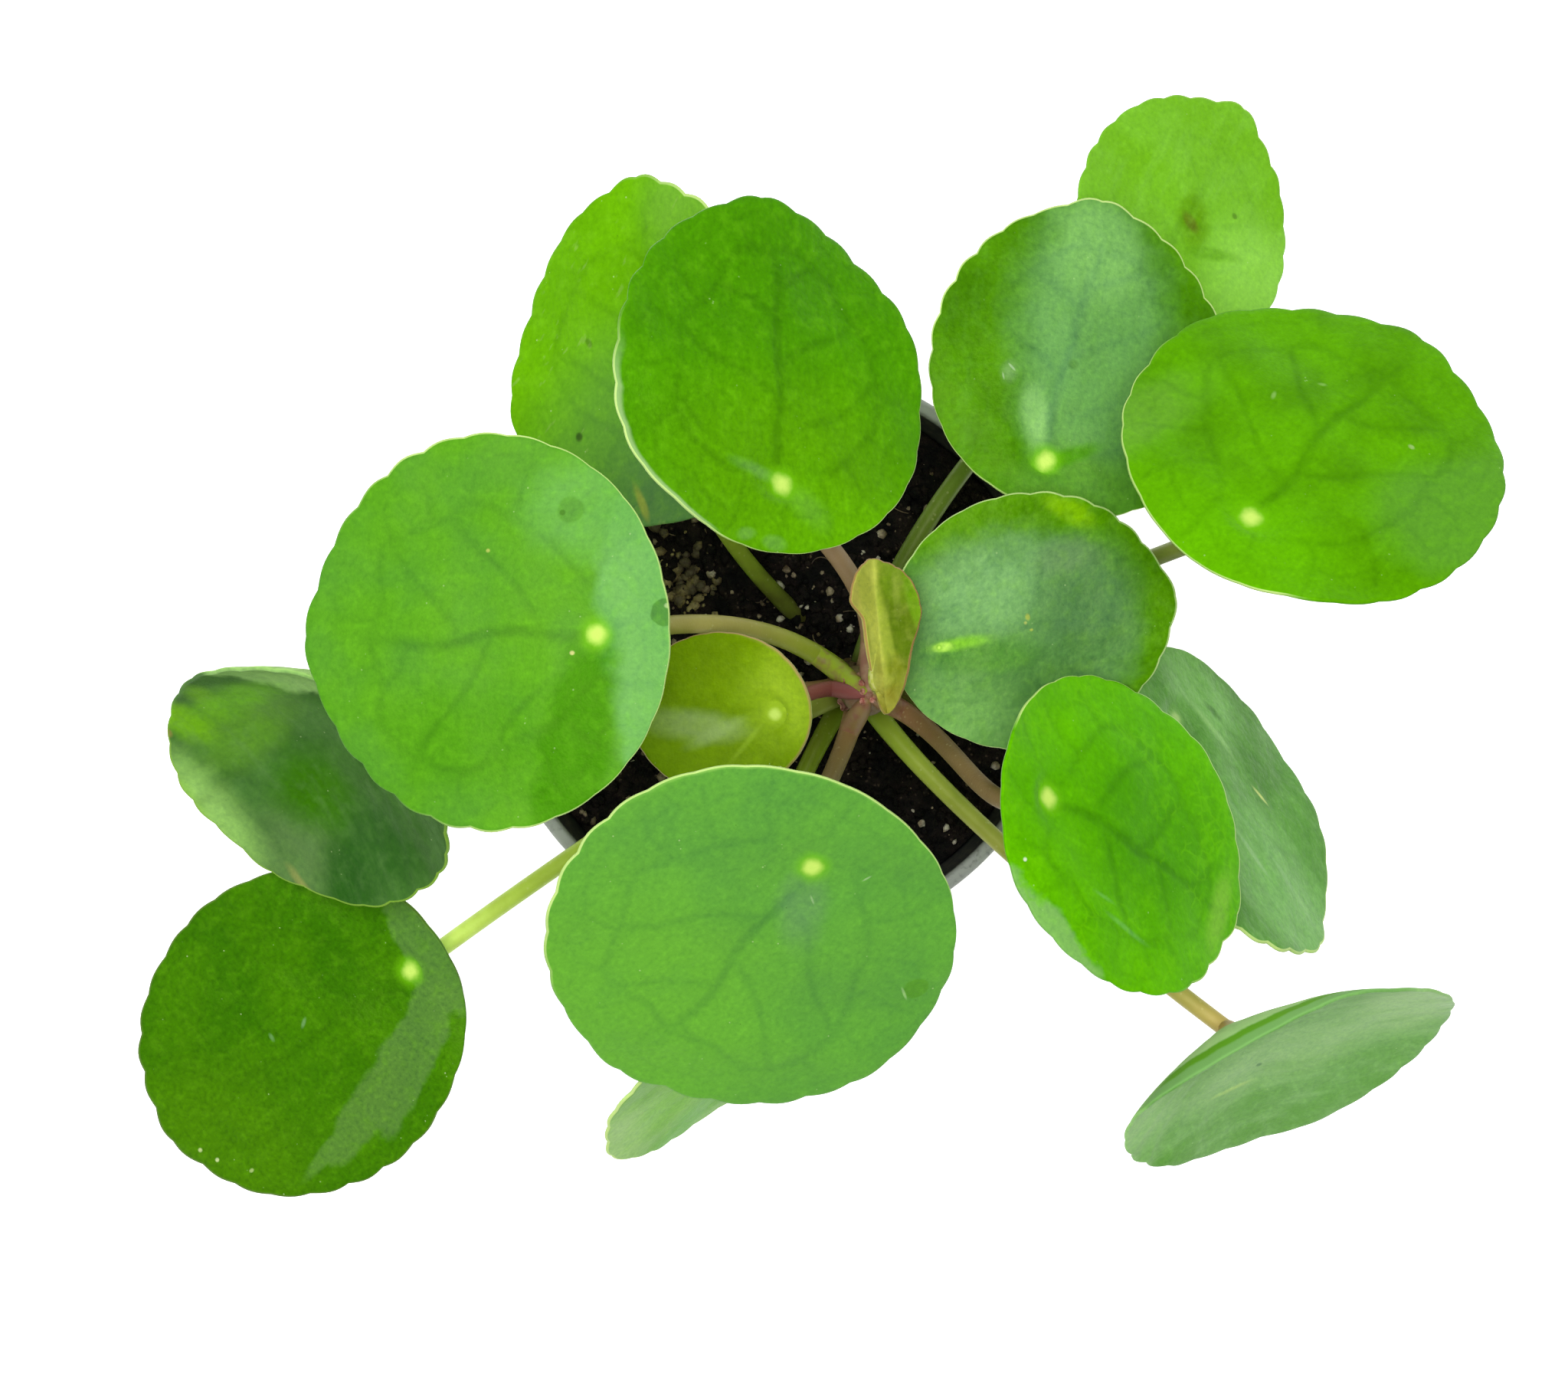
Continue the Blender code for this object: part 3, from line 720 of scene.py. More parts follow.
def press_blade(leaf, bm):
    """Moves the blank's vertices into the leaf's form, and returns the attributes of each."""
    flat = np.array([vert.co[:] for vert in bm.verts])
    turn = np.arctan2(flat[:, 1], flat[:, 0])
    radius = np.hypot(flat[:, 0], flat[:, 1])
    reach = np.clip((radius - BLANK_HUB) / (1 - BLANK_HUB), 0, 1)
    over = (flat[:, 2] - 0.5) * math.pi
    margin = np.where(radius > 0.999, EDGE_ROUND * (1 - np.cos(over)), 0.0)
    reach = reach - margin / (leaf.length / 2)
    along, across = flat_place(leaf, turn, reach)
    bulge = relief(leaf, turn, reach, along, across)
    thickness = BLADE_MIDDLE + (BLADE_EDGE - BLADE_MIDDLE) * reach
    out = 0.5 * thickness * np.sin(over) + bulge
    places = blade_points(leaf, turn, reach) + out[:, None] * blade_normals(leaf, turn, reach)
    for vert, place in zip(bm.verts, places):
        vert.co = place
    return np.stack([along, pinched(leaf, along, across, reach), reach], axis=1), flat[:, 2]


def draw_stalk(leaf, bm):
    """Extrudes the underside's middle face down the stalk, and returns each point's share of the way."""
    frames, radii, shares = stalk_path(leaf)
    hubs = [face for face in bm.faces if len(face.verts) == HUB_SIDES]
    lower = min(hubs, key=lambda hub: (hub.calc_center_median() - frames[0].translation).length)
    extrude_along(bm, lower, frames, radii)
    return [share for share in shares[1:] for _ in range(HUB_SIDES)]


def add_attribute(mesh, name, kind, values):
    layer = mesh.attributes.new(name, kind, "POINT")
    layer.data.foreach_set("vector" if kind == "FLOAT_VECTOR" else "value", np.asarray(values, float).ravel())


def make_leaf(leaf):
    """A finished leaf mesh in metres, without its finishes."""
    bm = bmesh.new()
    bm.from_mesh(blank)
    bm.verts.ensure_lookup_table()
    place, level = press_blade(leaf, bm)
    blade_count = len(bm.verts)
    shares = draw_stalk(leaf, bm)
    bm.verts.index_update()
    for face in bm.faces:
        face.smooth = True
        face.material_index = 1 if any(vert.index >= blade_count for vert in face.verts) else 0
    upper = [face for face in bm.faces if len(face.verts) == HUB_SIDES and face.material_index == 0]
    centre = bmesh.ops.poke(bm, faces=upper)["verts"]
    bmesh.ops.scale(bm, vec=(MM, MM, MM), verts=bm.verts)
    mesh = bpy.data.meshes.new(leaf.name + "_fine")
    bm.to_mesh(mesh)
    bm.free()
    on_stalk, in_middle = np.zeros(len(shares)), np.zeros(len(centre))
    origin = np.zeros((len(shares) + len(centre), 3))
    add_attribute(mesh, "blade", "FLOAT_VECTOR", np.concatenate([place, origin]))
    add_attribute(mesh, "level", "FLOAT", np.concatenate([level, on_stalk, in_middle + 1]))
    add_attribute(mesh, "share", "FLOAT", np.concatenate([np.zeros(blade_count), shares, in_middle]))
    return mesh


leaf_meshes = {leaf.name: make_leaf(leaf) for leaf in LEAVES}
for leaf in LEAVES[:3]:
    mesh = leaf_meshes[leaf.name]
    print(leaf.name, len(mesh.vertices), "points", len(mesh.polygons), "faces")

# %% [markdown]
# ## What makes a Pilea leaf look alive
#
# Real leaves are not one green. Each has a ground colour, cloudy paler and deeper areas, soft darker veins
# with faint light mottling between them, a pale spot over the stalk with a lime halo, a thin pale line round
# the margin, painted as a highlight on the side that catches the light, water marks and a few white specks.
# The underside is paler and duller.
#
# The waxy face also mirrors the light in greyish sheens with surprisingly sharp borders. Painting those as
# patches of their own colour keeps them where they belong, from whichever side the plant is seen. The table
# gives each leaf its greens, in the 0 to 255 steps of a colour picker, and its patches. A patch is an ellipse
# on the blade: its place, its two half axes and its turn, then how soft its edge is, its colour and strength.


# %% Colours of one leaf
@dataclass
class Tint:
    """Colours of a leaf, in 0 to 255 steps."""

    ground: tuple
    deep: tuple  # in the cloudy areas
    pale: tuple  # in the mottling, the streaks and the finest net
    patches: tuple = ()  # along, across, long, wide, turn, soft, colour, strength; the greyish ones are painted sheens
    # The margin's thin line: a painted highlight where it is pale, and the margin's own colour where it is
    # brownish, as on leaf_08 and leaf_09.
    rim: tuple = (180, 206, 122)
    rim_highlight_side: tuple = (0, 180)  # where the margin's thin line shows, as a painted highlight on its lit side: direction and half angle
    lip_and_sheen: tuple = ()  # a broader band at the margin, a painted sheen on leaf_02 and leaf_06 and the margin's own brownish colour on leaf_08: direction, half angle, strength, where it starts, colour
    under: tuple = (150, 186, 112)
    under_band: tuple = ()  # bands of the underside on the stalk's side: a line and the part outside it; the darker line on leaf_16 is painted shade along the curled margin
    core: tuple = (176, 206, 92)  # the spot over the stalk
    halo: tuple = (100, 170, 8)  # the ring round that spot
    spot: float = 1.0  # size of both
    vein_share: float = 0.9
    mottling: float = 0.3
    streaks: float = 0.0
    streak_way: float = 0.0  # degrees from the midrib
    flecks: float = 0.0
    grainy: float = 0.5
    quilted: float = 0.0  # soft bumps and hollows, 2 to 4 mm across, with painted shade in the hollows
    net: float = 0.05
    specks: float = 0.4
    rough: float = 0.42
    mirror: float = 0.16
    head: tuple = (150, 175, 80)  # the stalk's colours, from the blade down
    middle: tuple = (128, 132, 60)
    foot: tuple = (140, 110, 70)


# %% The tints of the left half
# Many patches are painted sheens: the greyish ones over the middle of a blade or along a margin. The others
# are the leaves' own paler, deeper and darker areas and small marks.
TINTS = {
    "leaf_01": Tint(
        (93, 157, 3), (86, 148, 2), (108, 166, 30), mottling=0.4, flecks=0.45, specks=0.7,
        spot=0.6, rim_highlight_side=(-60, 60), mirror=0.1,
        head=(134, 156, 56), middle=(132, 152, 44), foot=(58, 46, 28),
        patches=((-8, -2, 34, 33, 0, 0.8, (90, 144, 48), 1.0),
                 (-9, -3, 18, 17, 0, 0.9, (88, 130, 72), 0.9),
                 (49, -9, 12, 10, 0, 1.0, (104, 152, 54), 0.5),
                 (26.6, 17, 1.1, 0.7, 40, 0.9, (58, 92, 20), 0.6),
                 (8.6, 21.2, 0.9, 0.9, 0, 0.8, (46, 70, 24), 0.8),
                 (-6.3, 7.8, 3.6, 0.9, 200, 0.9, (150, 160, 70), 0.9))),
    "leaf_02": Tint(
        (67, 135, 0), (60, 125, 0), (90, 154, 12), mottling=0.5, grainy=0.7, rim_highlight_side=(180, 128),
        vein_share=1.35, lip_and_sheen=(88, 40, 0.75, 0.94, (140, 172, 112)),
        head=(140, 122, 84), middle=(138, 112, 84), foot=(136, 108, 84),
        patches=((-4, -2, 24, 28, 0, 1.1, (77, 137, 0), 0.9),
                 (41, 2, 17, 28, 0, 1.1, (58, 122, 0), 0.7),
                 (-7, -11, 7, 15, 0, 1.1, (84, 149, 0), 0.85),
                 (2.0, 4.8, 4.6, 1.1, 72, 1.4, (110, 156, 84), 0.35),
                 (-4.0, -4.5, 4.6, 2.2, 232, 1.5, (100, 150, 58), 0.3),
                 (-10.9, 2.1, 2.2, 1.2, 80, 0.8, (98, 148, 62), 0.55),
                 (-9.6, 7.8, 1.9, 1.1, 100, 0.8, (98, 146, 64), 0.55))),
    "leaf_03": Tint(
        (76, 140, 22), (73, 134, 34), (90, 156, 24), mottling=0.4, rim_highlight_side=(190, 140), vein_share=1.05,
        head=(164, 146, 106), middle=(148, 140, 76), foot=(128, 146, 32),
        patches=((-23, -2, 22.5, 44, 0, 0.14, (95, 153, 76), 1.0),
                 (1, -23, 11, 9, 0, 0.9, (88, 148, 66), 0.8),
                 (24, 19, 15, 9, 0, 1.1, (66, 131, 12), 0.75),
                 (4.6, 21.5, 21, 6.6, 76, 0.7, (53, 120, 0), 1.0),
                 (4.5, -22.5, 2.3, 2.3, 0, 0.3, (70, 128, 42), 0.8),
                 (6.0, -22.0, 0.5, 0.5, 0, 0.8, (36, 84, 20), 0.7),
                 (-12.7, -3.7, 2.5, 2.5, 0, 0.14, (64, 118, 48), 0.9),
                 (-13.6, -4.8, 0.8, 0.5, 0, 0.6, (150, 176, 120), 0.8),
                 (4.6, 3.4, 0.4, 0.35, 0, 0.9, (200, 190, 130), 0.8),
                 (20, -15.5, 0.4, 0.35, 0, 0.9, (180, 186, 90), 0.7))),
    "leaf_04": Tint(
        (62, 104, 42), (50, 90, 32), (84, 122, 62), rim=(120, 160, 50), under=(150, 190, 106),
        vein_share=0.3, streaks=0.25, streak_way=60, mottling=0.4, rim_highlight_side=(60, 110), mirror=0.1,
        patches=((-10, -15, 12.6, 20, 0, 0.16, (136, 178, 98), 0.9),
                 (40, 5, 11, 10, 0, 1.0, (82, 114, 60), 0.9),
                 (26, 18, 9, 9, 0, 1.0, (40, 84, 26), 0.9),
                 (38, 16, 8, 6, 40, 1.0, (26, 76, 12), 0.8),
                 (25, 2, 9, 8, 20, 1.2, (48, 102, 0), 1.0),
                 (18, -15, 12, 6, -20, 1.1, (82, 130, 34), 0.85),
                 (41, -15, 16, 5.5, 52, 1.4, (132, 176, 88), 1.0),
                 (39, -21, 10, 2.4, 48, 0.9, (128, 178, 70), 0.8),
                 (21, -27, 6, 3.4, 70, 1.2, (104, 162, 8), 0.9),
                 (14, -24, 5, 2.4, 40, 1.2, (104, 160, 12), 0.7),
                 (10.5, -19, 9, 3.6, -35, 1.2, (92, 152, 26), 0.9),
                 (46, 9, 4.5, 1.0, 74, 1.1, (140, 140, 76), 0.6),
                 (25.0, -28.2, 1.2, 0.7, 40, 0.9, (130, 120, 60), 0.8))),
    "leaf_05": Tint(
        (55, 109, 0), (45, 99, 0), (74, 126, 8), specks=0.7, mottling=0.6, grainy=0.95,
        rim=(80, 110, 40), vein_share=0.5,
        head=(198, 222, 116), middle=(160, 186, 66), foot=(120, 130, 50),
        patches=((61, 4, 20, 22, 0, 1.1, (67, 116, 2), 0.6),
                 (-7.5, -3, 17, 6.8, 72, 0.2, (75, 116, 46), 0.95),
                 (12, 13.0, 20, 5.6, 24, 0.22, (75, 116, 45), 0.95),
                 (27, 16, 15, 4.4, 14, 0.3, (77, 118, 44), 0.9),
                 (41, 17.6, 8, 1.6, 10, 0.6, (77, 120, 42), 0.9),
                 (64.2, 0.3, 0.45, 0.4, 0, 0.9, (180, 196, 130), 0.9),
                 (62.3, 4.2, 0.45, 0.4, 0, 0.9, (190, 206, 140), 0.9),
                 (57.3, 10.5, 0.5, 0.35, 0, 0.9, (160, 180, 110), 0.9),
                 (26, -6, 1.0, 0.35, 30, 1.2, (104, 146, 90), 0.7),
                 (34, -8, 0.8, 0.4, 80, 1.2, (104, 146, 90), 0.6))),
    "leaf_06": Tint(
        (85, 146, 50), (79, 138, 52), (96, 160, 44), vein_share=0.88, specks=0.6,
        lip_and_sheen=(-136, 70, 0.7, 0.962, (132, 176, 84)), rim_highlight_side=(-136, 110),
        head=(120, 110, 70), middle=(99, 87, 50), foot=(120, 96, 60),
        patches=((44, -8, 26, 30, 0, 1.1, (92, 156, 44), 0.85),
                 (7.5, 4.2, 8, 4.2, 40, 1.1, (96, 126, 92), 0.4),
                 (8.6, 34.4, 2.3, 2.2, 0, 0.25, (74, 132, 32), 0.8),
                 (10.8, 33.4, 1.4, 0.25, 60, 0.9, (150, 186, 120), 0.6),
                 (5.2, 4.6, 0.9, 0.18, 60, 0.9, (146, 172, 126), 0.5),
                 (-4.4, 9.6, 0.9, 0.18, -20, 0.9, (156, 182, 136), 0.6),
                 (-24, 8, 26, 22, 0, 1.2, (82, 140, 54), 0.2))),
    "leaf_07": Tint(
        (106, 165, 42), (92, 152, 32), (130, 178, 80), streaks=0.15, flecks=0.3, vein_share=0.3, mirror=0.08,
        head=(130, 150, 44), middle=(116, 138, 30), foot=(108, 124, 26),
        patches=((44, -5, 11, 12, 0, 1.0, (146, 184, 110), 0.85),
                 (30, 0, 8, 8, 0, 1.1, (120, 180, 62), 0.7),
                 (29, 15, 13, 6, 8, 1.0, (82, 156, 0), 1.0))),
    "leaf_08": Tint(
        (97, 127, 0), (88, 116, 0), (110, 142, 14), rim=(150, 124, 84), core=(162, 184, 84),
        halo=(126, 154, 30), lip_and_sheen=(180, 120, 0.55, 0.93, (132, 120, 60)), vein_share=0.25, mottling=0.35,
        net=0.02, head=(124, 84, 62), middle=(120, 68, 62), foot=(112, 60, 58),
        patches=((-5.5, -4, 8, 10, 0, 1.2, (130, 156, 34), 0.8),
                 (15.5, 1.6, 8.5, 2.6, -8, 1.2, (124, 146, 84), 0.9),
                 (12, 3.4, 5.0, 1.2, 24, 1.3, (130, 152, 92), 0.6),
                 (5.6, 5.4, 4.5, 0.5, 48, 1.3, (122, 150, 34), 0.55),
                 (0.5, 10.9, 0.3, 0.3, 0, 0.9, (200, 204, 150), 0.8),
                 (-1.0, 10.2, 0.3, 0.25, 0, 0.9, (200, 204, 150), 0.8),
                 (0.8, 12.0, 0.25, 0.25, 0, 0.9, (200, 204, 150), 0.8))),
}
print(len(TINTS), "tints")

# %% The tints of the right half
# Here too the greyish patches are painted sheens, and the rest are the leaves' own colour.
TINTS |= {
    "leaf_09": Tint(
        (148, 154, 60), (138, 146, 54), (166, 170, 84), rim=(140, 104, 66), core=(140, 140, 60),
        spot=0.1, under=(150, 146, 78), halo=(130, 140, 40), vein_share=0.0, net=0.02, streaks=0.25,
        head=(140, 130, 60), middle=(130, 110, 60), foot=(120, 90, 60),
        patches=((14, 5.2, 12, 1.5, 0, 0.9, (150, 138, 70), 0.6),
                 (12, -4.8, 14, 3.6, 6, 0.5, (72, 98, 4), 0.95),
                 (18, -4.0, 4.5, 2.2, 20, 0.9, (96, 124, 22), 0.8),
                 (13.5, -6.8, 6, 1.2, 10, 0.7, (88, 130, 8), 0.9),
                 # A painted highlight along the fold.
                 (8.5, -1.5, 9, 1.0, 5, 0.9, (126, 142, 44), 0.85),
                 (0.5, -2.6, 4, 2.0, 0, 1.0, (98, 108, 14), 0.85),
                 (1.5, 1.0, 3, 1.6, 0, 1.0, (126, 126, 46), 0.7),
                 (-4.5, 0, 4, 4, 0, 1.0, (110, 104, 28), 0.85))),
    "leaf_10": Tint(
        (70, 124, 0), (62, 114, 0), (90, 138, 40), rim=(168, 194, 120), core=(170, 212, 84), spot=0.2,
        halo=(92, 154, 20), vein_share=0.35, mottling=0.5, grainy=0.65, quilted=1.6,
        head=(130, 140, 60), middle=(120, 110, 60), foot=(120, 100, 60),
        patches=((11, -3, 27, 22.5, 6, 0.3, (82, 126, 66), 0.97),
                 (11, 9, 12, 8, 20, 1.2, (112, 158, 95), 0.85),
                 (30, 4, 9, 11, 0, 1.1, (70, 110, 62), 0.9),
                 (17, -8, 18, 4, 12, 1.1, (66, 110, 50), 0.7),
                 (2, -14, 10, 7, 0, 1.1, (100, 146, 74), 0.8),
                 (29, 21.5, 5.0, 2.0, -35, 1.0, (106, 156, 2), 0.95),
                 (8, -2.5, 10, 3.2, -8, 1.2, (68, 122, 36), 0.7),
                 (4.0, 0.1, 4.8, 1.0, 0, 1.6, (122, 184, 44), 1.0),
                 (0.8, 0.0, 1.9, 0.8, 0, 1.0, (168, 212, 84), 0.9),
                 (17.8, 2.9, 0.45, 0.6, 0, 1.0, (160, 166, 70), 0.8),
                 (17.2, 1.9, 0.3, 0.3, 0, 1.0, (170, 176, 90), 0.7),
                 (18.2, 0.4, 0.35, 0.25, 0, 1.0, (168, 176, 70), 0.7),
                 (27, 13, 6, 3, 0, 1.2, (98, 128, 84), 0.5))),
    "leaf_11": Tint(
        (80, 146, 0), (70, 130, 0), (90, 158, 4), mottling=0.35, vein_share=1.15,
        rim_highlight_side=(150, 90), mirror=0.08,
        head=(130, 150, 60), middle=(110, 120, 50), foot=(120, 110, 60),
        patches=((32, -33, 22, 14, -42, 0.6, (80, 137, 34), 0.95),
                 (3, 30, 16, 6, -10, 1.1, (96, 148, 44), 0.6),
                 (-9, -4, 16, 16, 0, 1.1, (86, 158, 0), 0.85),
                 (26, 14, 0.9, 0.4, 20, 1.2, (130, 170, 90), 0.6),
                 (35, 9, 0.8, 0.4, 120, 1.2, (130, 170, 90), 0.5),
                 (34, -12, 0.4, 0.55, 0, 1.0, (150, 176, 110), 0.7))),
    "leaf_12": Tint(
        (69, 127, 2), (57, 111, 0), (86, 140, 50), streaks=0.16, mottling=0.3, vein_share=0.9, grainy=0.7,
        quilted=0.7,
        patches=((24, -6, 29, 15, 8, 0.7, (86, 136, 68), 0.97),
                 (44, -4, 11, 8, 20, 1.1, (110, 162, 84), 0.9),
                 (24, 1, 14, 4, 4, 1.2, (98, 150, 80), 0.6),
                 (-7, -7, 10, 13, 0, 0.8, (74, 126, 34), 0.9),
                 (1.8, -4.6, 5.2, 1.5, -62, 1.1, (58, 124, 0), 0.95),
                 (8.0, 3.0, 5.4, 2.4, 18, 1.4, (126, 174, 100), 0.85),
                 (15.9, 9.7, 2.0, 1.5, 0, 1.4, (116, 152, 100), 0.5),
                 (17.0, 9.2, 0.9, 0.22, 50, 0.9, (160, 184, 146), 0.6),
                 (15.0, 10.6, 0.8, 0.2, 20, 0.9, (160, 184, 146), 0.5),
                 (20, -2.6, 0.9, 0.9, 0, 1.0, (62, 108, 44), 0.6))),
    "leaf_13": Tint(
        (106, 168, 36), (100, 162, 22), (124, 184, 66), streaks=0.25, rim_highlight_side=(0, 10), vein_share=0.45,
        head=(95, 120, 35), middle=(85, 106, 31), foot=(80, 96, 34),
        patches=((15, -19, 15, 11, 0, 1.1, (132, 192, 70), 0.8),
                 (20.5, -1.2, 6, 3.6, 30, 1.0, (84, 136, 0), 0.85),
                 (19.6, -1.0, 2.2, 1.2, 70, 1.0, (84, 92, 20), 0.75),
                 (16.5, -8, 6, 1.4, -60, 1.0, (80, 140, 6), 0.6),
                 (28, -9, 0.6, 0.6, 0, 0.9, (60, 100, 20), 0.7))),
    "leaf_14": Tint(
        (84, 162, 0), (76, 152, 0), (96, 172, 2), net=0.35, mottling=0.4, vein_share=1.3,
        rim_highlight_side=(60, 80), mirror=0.04,
        head=(120, 100, 60), middle=(110, 92, 56), foot=(130, 96, 66),
        patches=((25, 5, 19, 15, 0, 1.1, (64, 136, 0), 0.95),
                 (3, -30, 24, 11, -18, 0.18, (112, 162, 80), 0.95),
                 (47.5, 1, 2.6, 8, 0, 1.2, (118, 172, 52), 0.7),
                 (24, -15, 4.5, 0.5, -4, 1.4, (116, 176, 96), 0.35),
                 (17, -12, 2.4, 0.4, 0, 1.4, (116, 176, 96), 0.3),
                 (-2, -14, 0.35, 0.35, 0, 0.9, (214, 224, 190), 0.9))),
    "leaf_15": Tint(
        (80, 138, 48), (66, 122, 36), (112, 162, 86), streaks=0.3, streak_way=10, mottling=0.5,
        vein_share=0.3, quilted=1.0, mirror=0.12, core=(150, 186, 104), halo=(100, 156, 60), spot=0.8,
        head=(120, 140, 60), middle=(110, 120, 50), foot=(110, 100, 50),
        patches=((-1, 13, 13, 9, 30, 1.0, (112, 172, 78), 0.7),
                 (42, -2, 22, 13, 0, 1.1, (110, 166, 84), 0.8),
                 (4.8, 13.4, 2.6, 0.9, 20, 0.9, (64, 118, 40), 0.8),
                 (6.5, 9.0, 7.5, 1.0, 12, 1.2, (128, 176, 96), 0.8),
                 (24.2, 11.4, 2.4, 0.4, 14, 1.1, (190, 202, 116), 0.9),
                 (31.2, -4.3, 6, 0.6, 6, 1.2, (130, 174, 110), 0.8),
                 (44, 2, 9, 0.9, 4, 1.2, (130, 174, 110), 0.5),
                 (63, 0, 6, 5, 0, 1.0, (110, 160, 30), 0.6))),
    "leaf_16": Tint(
        (104, 153, 80), (88, 142, 58), (134, 178, 108), under=(152, 190, 122), rim=(110, 158, 86),
        under_band=((0.68, (88, 146, 30)), (0.82, (112, 160, 88))),
        streaks=0.35, streak_way=80, mottling=0.4, vein_share=0.1, mirror=0.12, rim_highlight_side=(180, 30),
        head=(176, 154, 88), middle=(150, 152, 68), foot=(128, 150, 42),
        patches=((10, 36, 12, 9, 0, 1.1, (146, 184, 118), 0.8),
                 (9, -24, 11, 9, 0, 1.1, (134, 180, 106), 0.8),
                 (30, 12, 8, 22, 0, 1.1, (96, 152, 66), 0.2),
                 (16, 10, 9, 24, 0, 1.1, (136, 178, 110), 0.8),
                 (21.3, -2.7, 0.6, 4.5, -12, 1.2, (160, 194, 104), 0.7),
                 (17.3, 4.1, 0.6, 0.6, 0, 0.9, (60, 110, 60), 0.8))),
}
print(len(TINTS), "tints,", sum(len(tint.patches) for tint in TINTS.values()), "patches")

# %% [markdown]
# ## The leaf's finish
#
# The shader repeats the vein formula on the blade's own coordinates, so the lines stay crisp at any size.
# Clouds of colour come first, then patches, many of them painted sheens, then mottling, veins, the finest
# net, specks, the spot and the rim, whose pale line is a painted highlight, each mixed over the last one. A
# noise bends the patches' borders, which makes them ragged like real sheens, and a fine grain of lighter and
# darker dots keeps the greens from looking like plastic. The most uneven blades get soft bumps and hollows as
# well, with painted shade in the hollows. The surface is waxy and half glossy, and its mirror light is
# tinted, because it has passed through the wax.


# %% Places and noises on the blade
class Blade:
    """The coordinates that a blade's finish works with, and the noises laid over them."""

    def __init__(self, tree, leaf):
        self.tree = tree
        self.along, self.across, self.reach = split(tree, attribute(tree, "blade", 1))
        self.level = attribute(tree, "level", 2)
        self.flat = self.at(self.along, self.across)
        self.seed = random.Random(leaf.name + " finish").uniform(0, 50)
        self.distance = root(self.along * self.along + self.across * self.across) + 0.01
        self.clouds = self.noise(0.06)
        self.mottle = self.noise(0.34, 5.0, 9.0)
        self.ragged = self.noise(0.16, 6.0, 14.0)
        self.grain = self.noise(2.2, 3.0, 20.0)

    def at(self, x, y):
        return add_node(self.tree, "ShaderNodeCombineXYZ", X=x, Y=y)

    def noise(self, scale, detail=3.0, shift=0.0, place=None):
        """Cloudy noise from 0 to 1. The scale is in clouds to a millimetre."""
        moved = added(self.tree, place or self.flat, (self.seed + shift, self.seed * 0.7, shift))
        return noise(self.tree, moved, scale, detail)

    def facing(self, degrees):
        """Cosine of the angle between a point's direction from the spot and the given one."""
        way = math.radians(degrees)
        return (self.along * math.cos(way) + self.across * math.sin(way)) / self.distance

    def patch(self, along, across, long, wide, turn, soft):
        """1 inside an ellipse with a ragged, more or less soft border, 0 outside it."""
        way = math.radians(turn)
        dx, dy = self.along - along, self.across - across
        u = (dx * math.cos(way) + dy * math.sin(way)) / long
        v = (dy * math.cos(way) - dx * math.sin(way)) / wide
        bend = (self.ragged - 0.5) * min(0.9, 7.0 / min(long, wide))
        mask = slope(root(u * u + v * v) + bend, 1.0 + soft * 0.5, 1.0 - soft * 0.5)
        if soft < 0.8:
            return mask
        return mask * smaller(self.ragged * 1.6 + 0.25, 1.0)


# %% Build a blade's finish
def ground_colour(tree, blade, tint):
    """Clouds, patches (among them the painted sheens), pale mottling and lengthwise streaks."""
    colour = blend(tree, slope(blade.clouds, 0.38, 0.66), linear(*tint.ground), linear(*tint.deep))
    pale = linear(*tint.pale)
    # Patches: the greyish ones are painted sheens, and the rest are the leaf's own colour.
    for *shape, patch_colour, strength in tint.patches:
        colour = blend(tree, blade.patch(*shape) * strength, colour, linear(*patch_colour))
    lighter = blend(tree, 1.0, blend(tree, 0.4, colour, pale), (1.16, 1.14, 1.12), "MULTIPLY")
    colour = blend(tree, slope(blade.mottle, 0.47, 0.7) * tint.mottling, colour, lighter)
    if tint.streaks:
        way = math.radians(tint.streak_way)
        run = blade.along * math.cos(way) + blade.across * math.sin(way)
        aside = blade.across * math.cos(way) - blade.along * math.sin(way)
        lengthwise = blade.noise(1.0, 4.0, 5.0, blade.at(run * 0.07 + blade.mottle * 0.6, aside * 0.32))
        colour = blend(tree, slope(lengthwise, 0.5, 0.72) * tint.streaks, colour, pale)
        colour = blend(tree, slope(lengthwise, 0.5, 0.28) * tint.streaks * 0.8, colour, linear(*tint.deep))
    if tint.flecks:
        slanted = blade.at((blade.along + blade.across) * 0.5, (blade.along - blade.across) * 0.16)
        small = blade.noise(1.0, 2.0, 7.0, slanted)
        fleck = slope(small, 0.6, 0.68) * slope(blade.ragged, 0.48, 0.6) * tint.flecks * 0.5
        colour = blend(tree, fleck, colour, linear(150, 172, 96))
    return colour


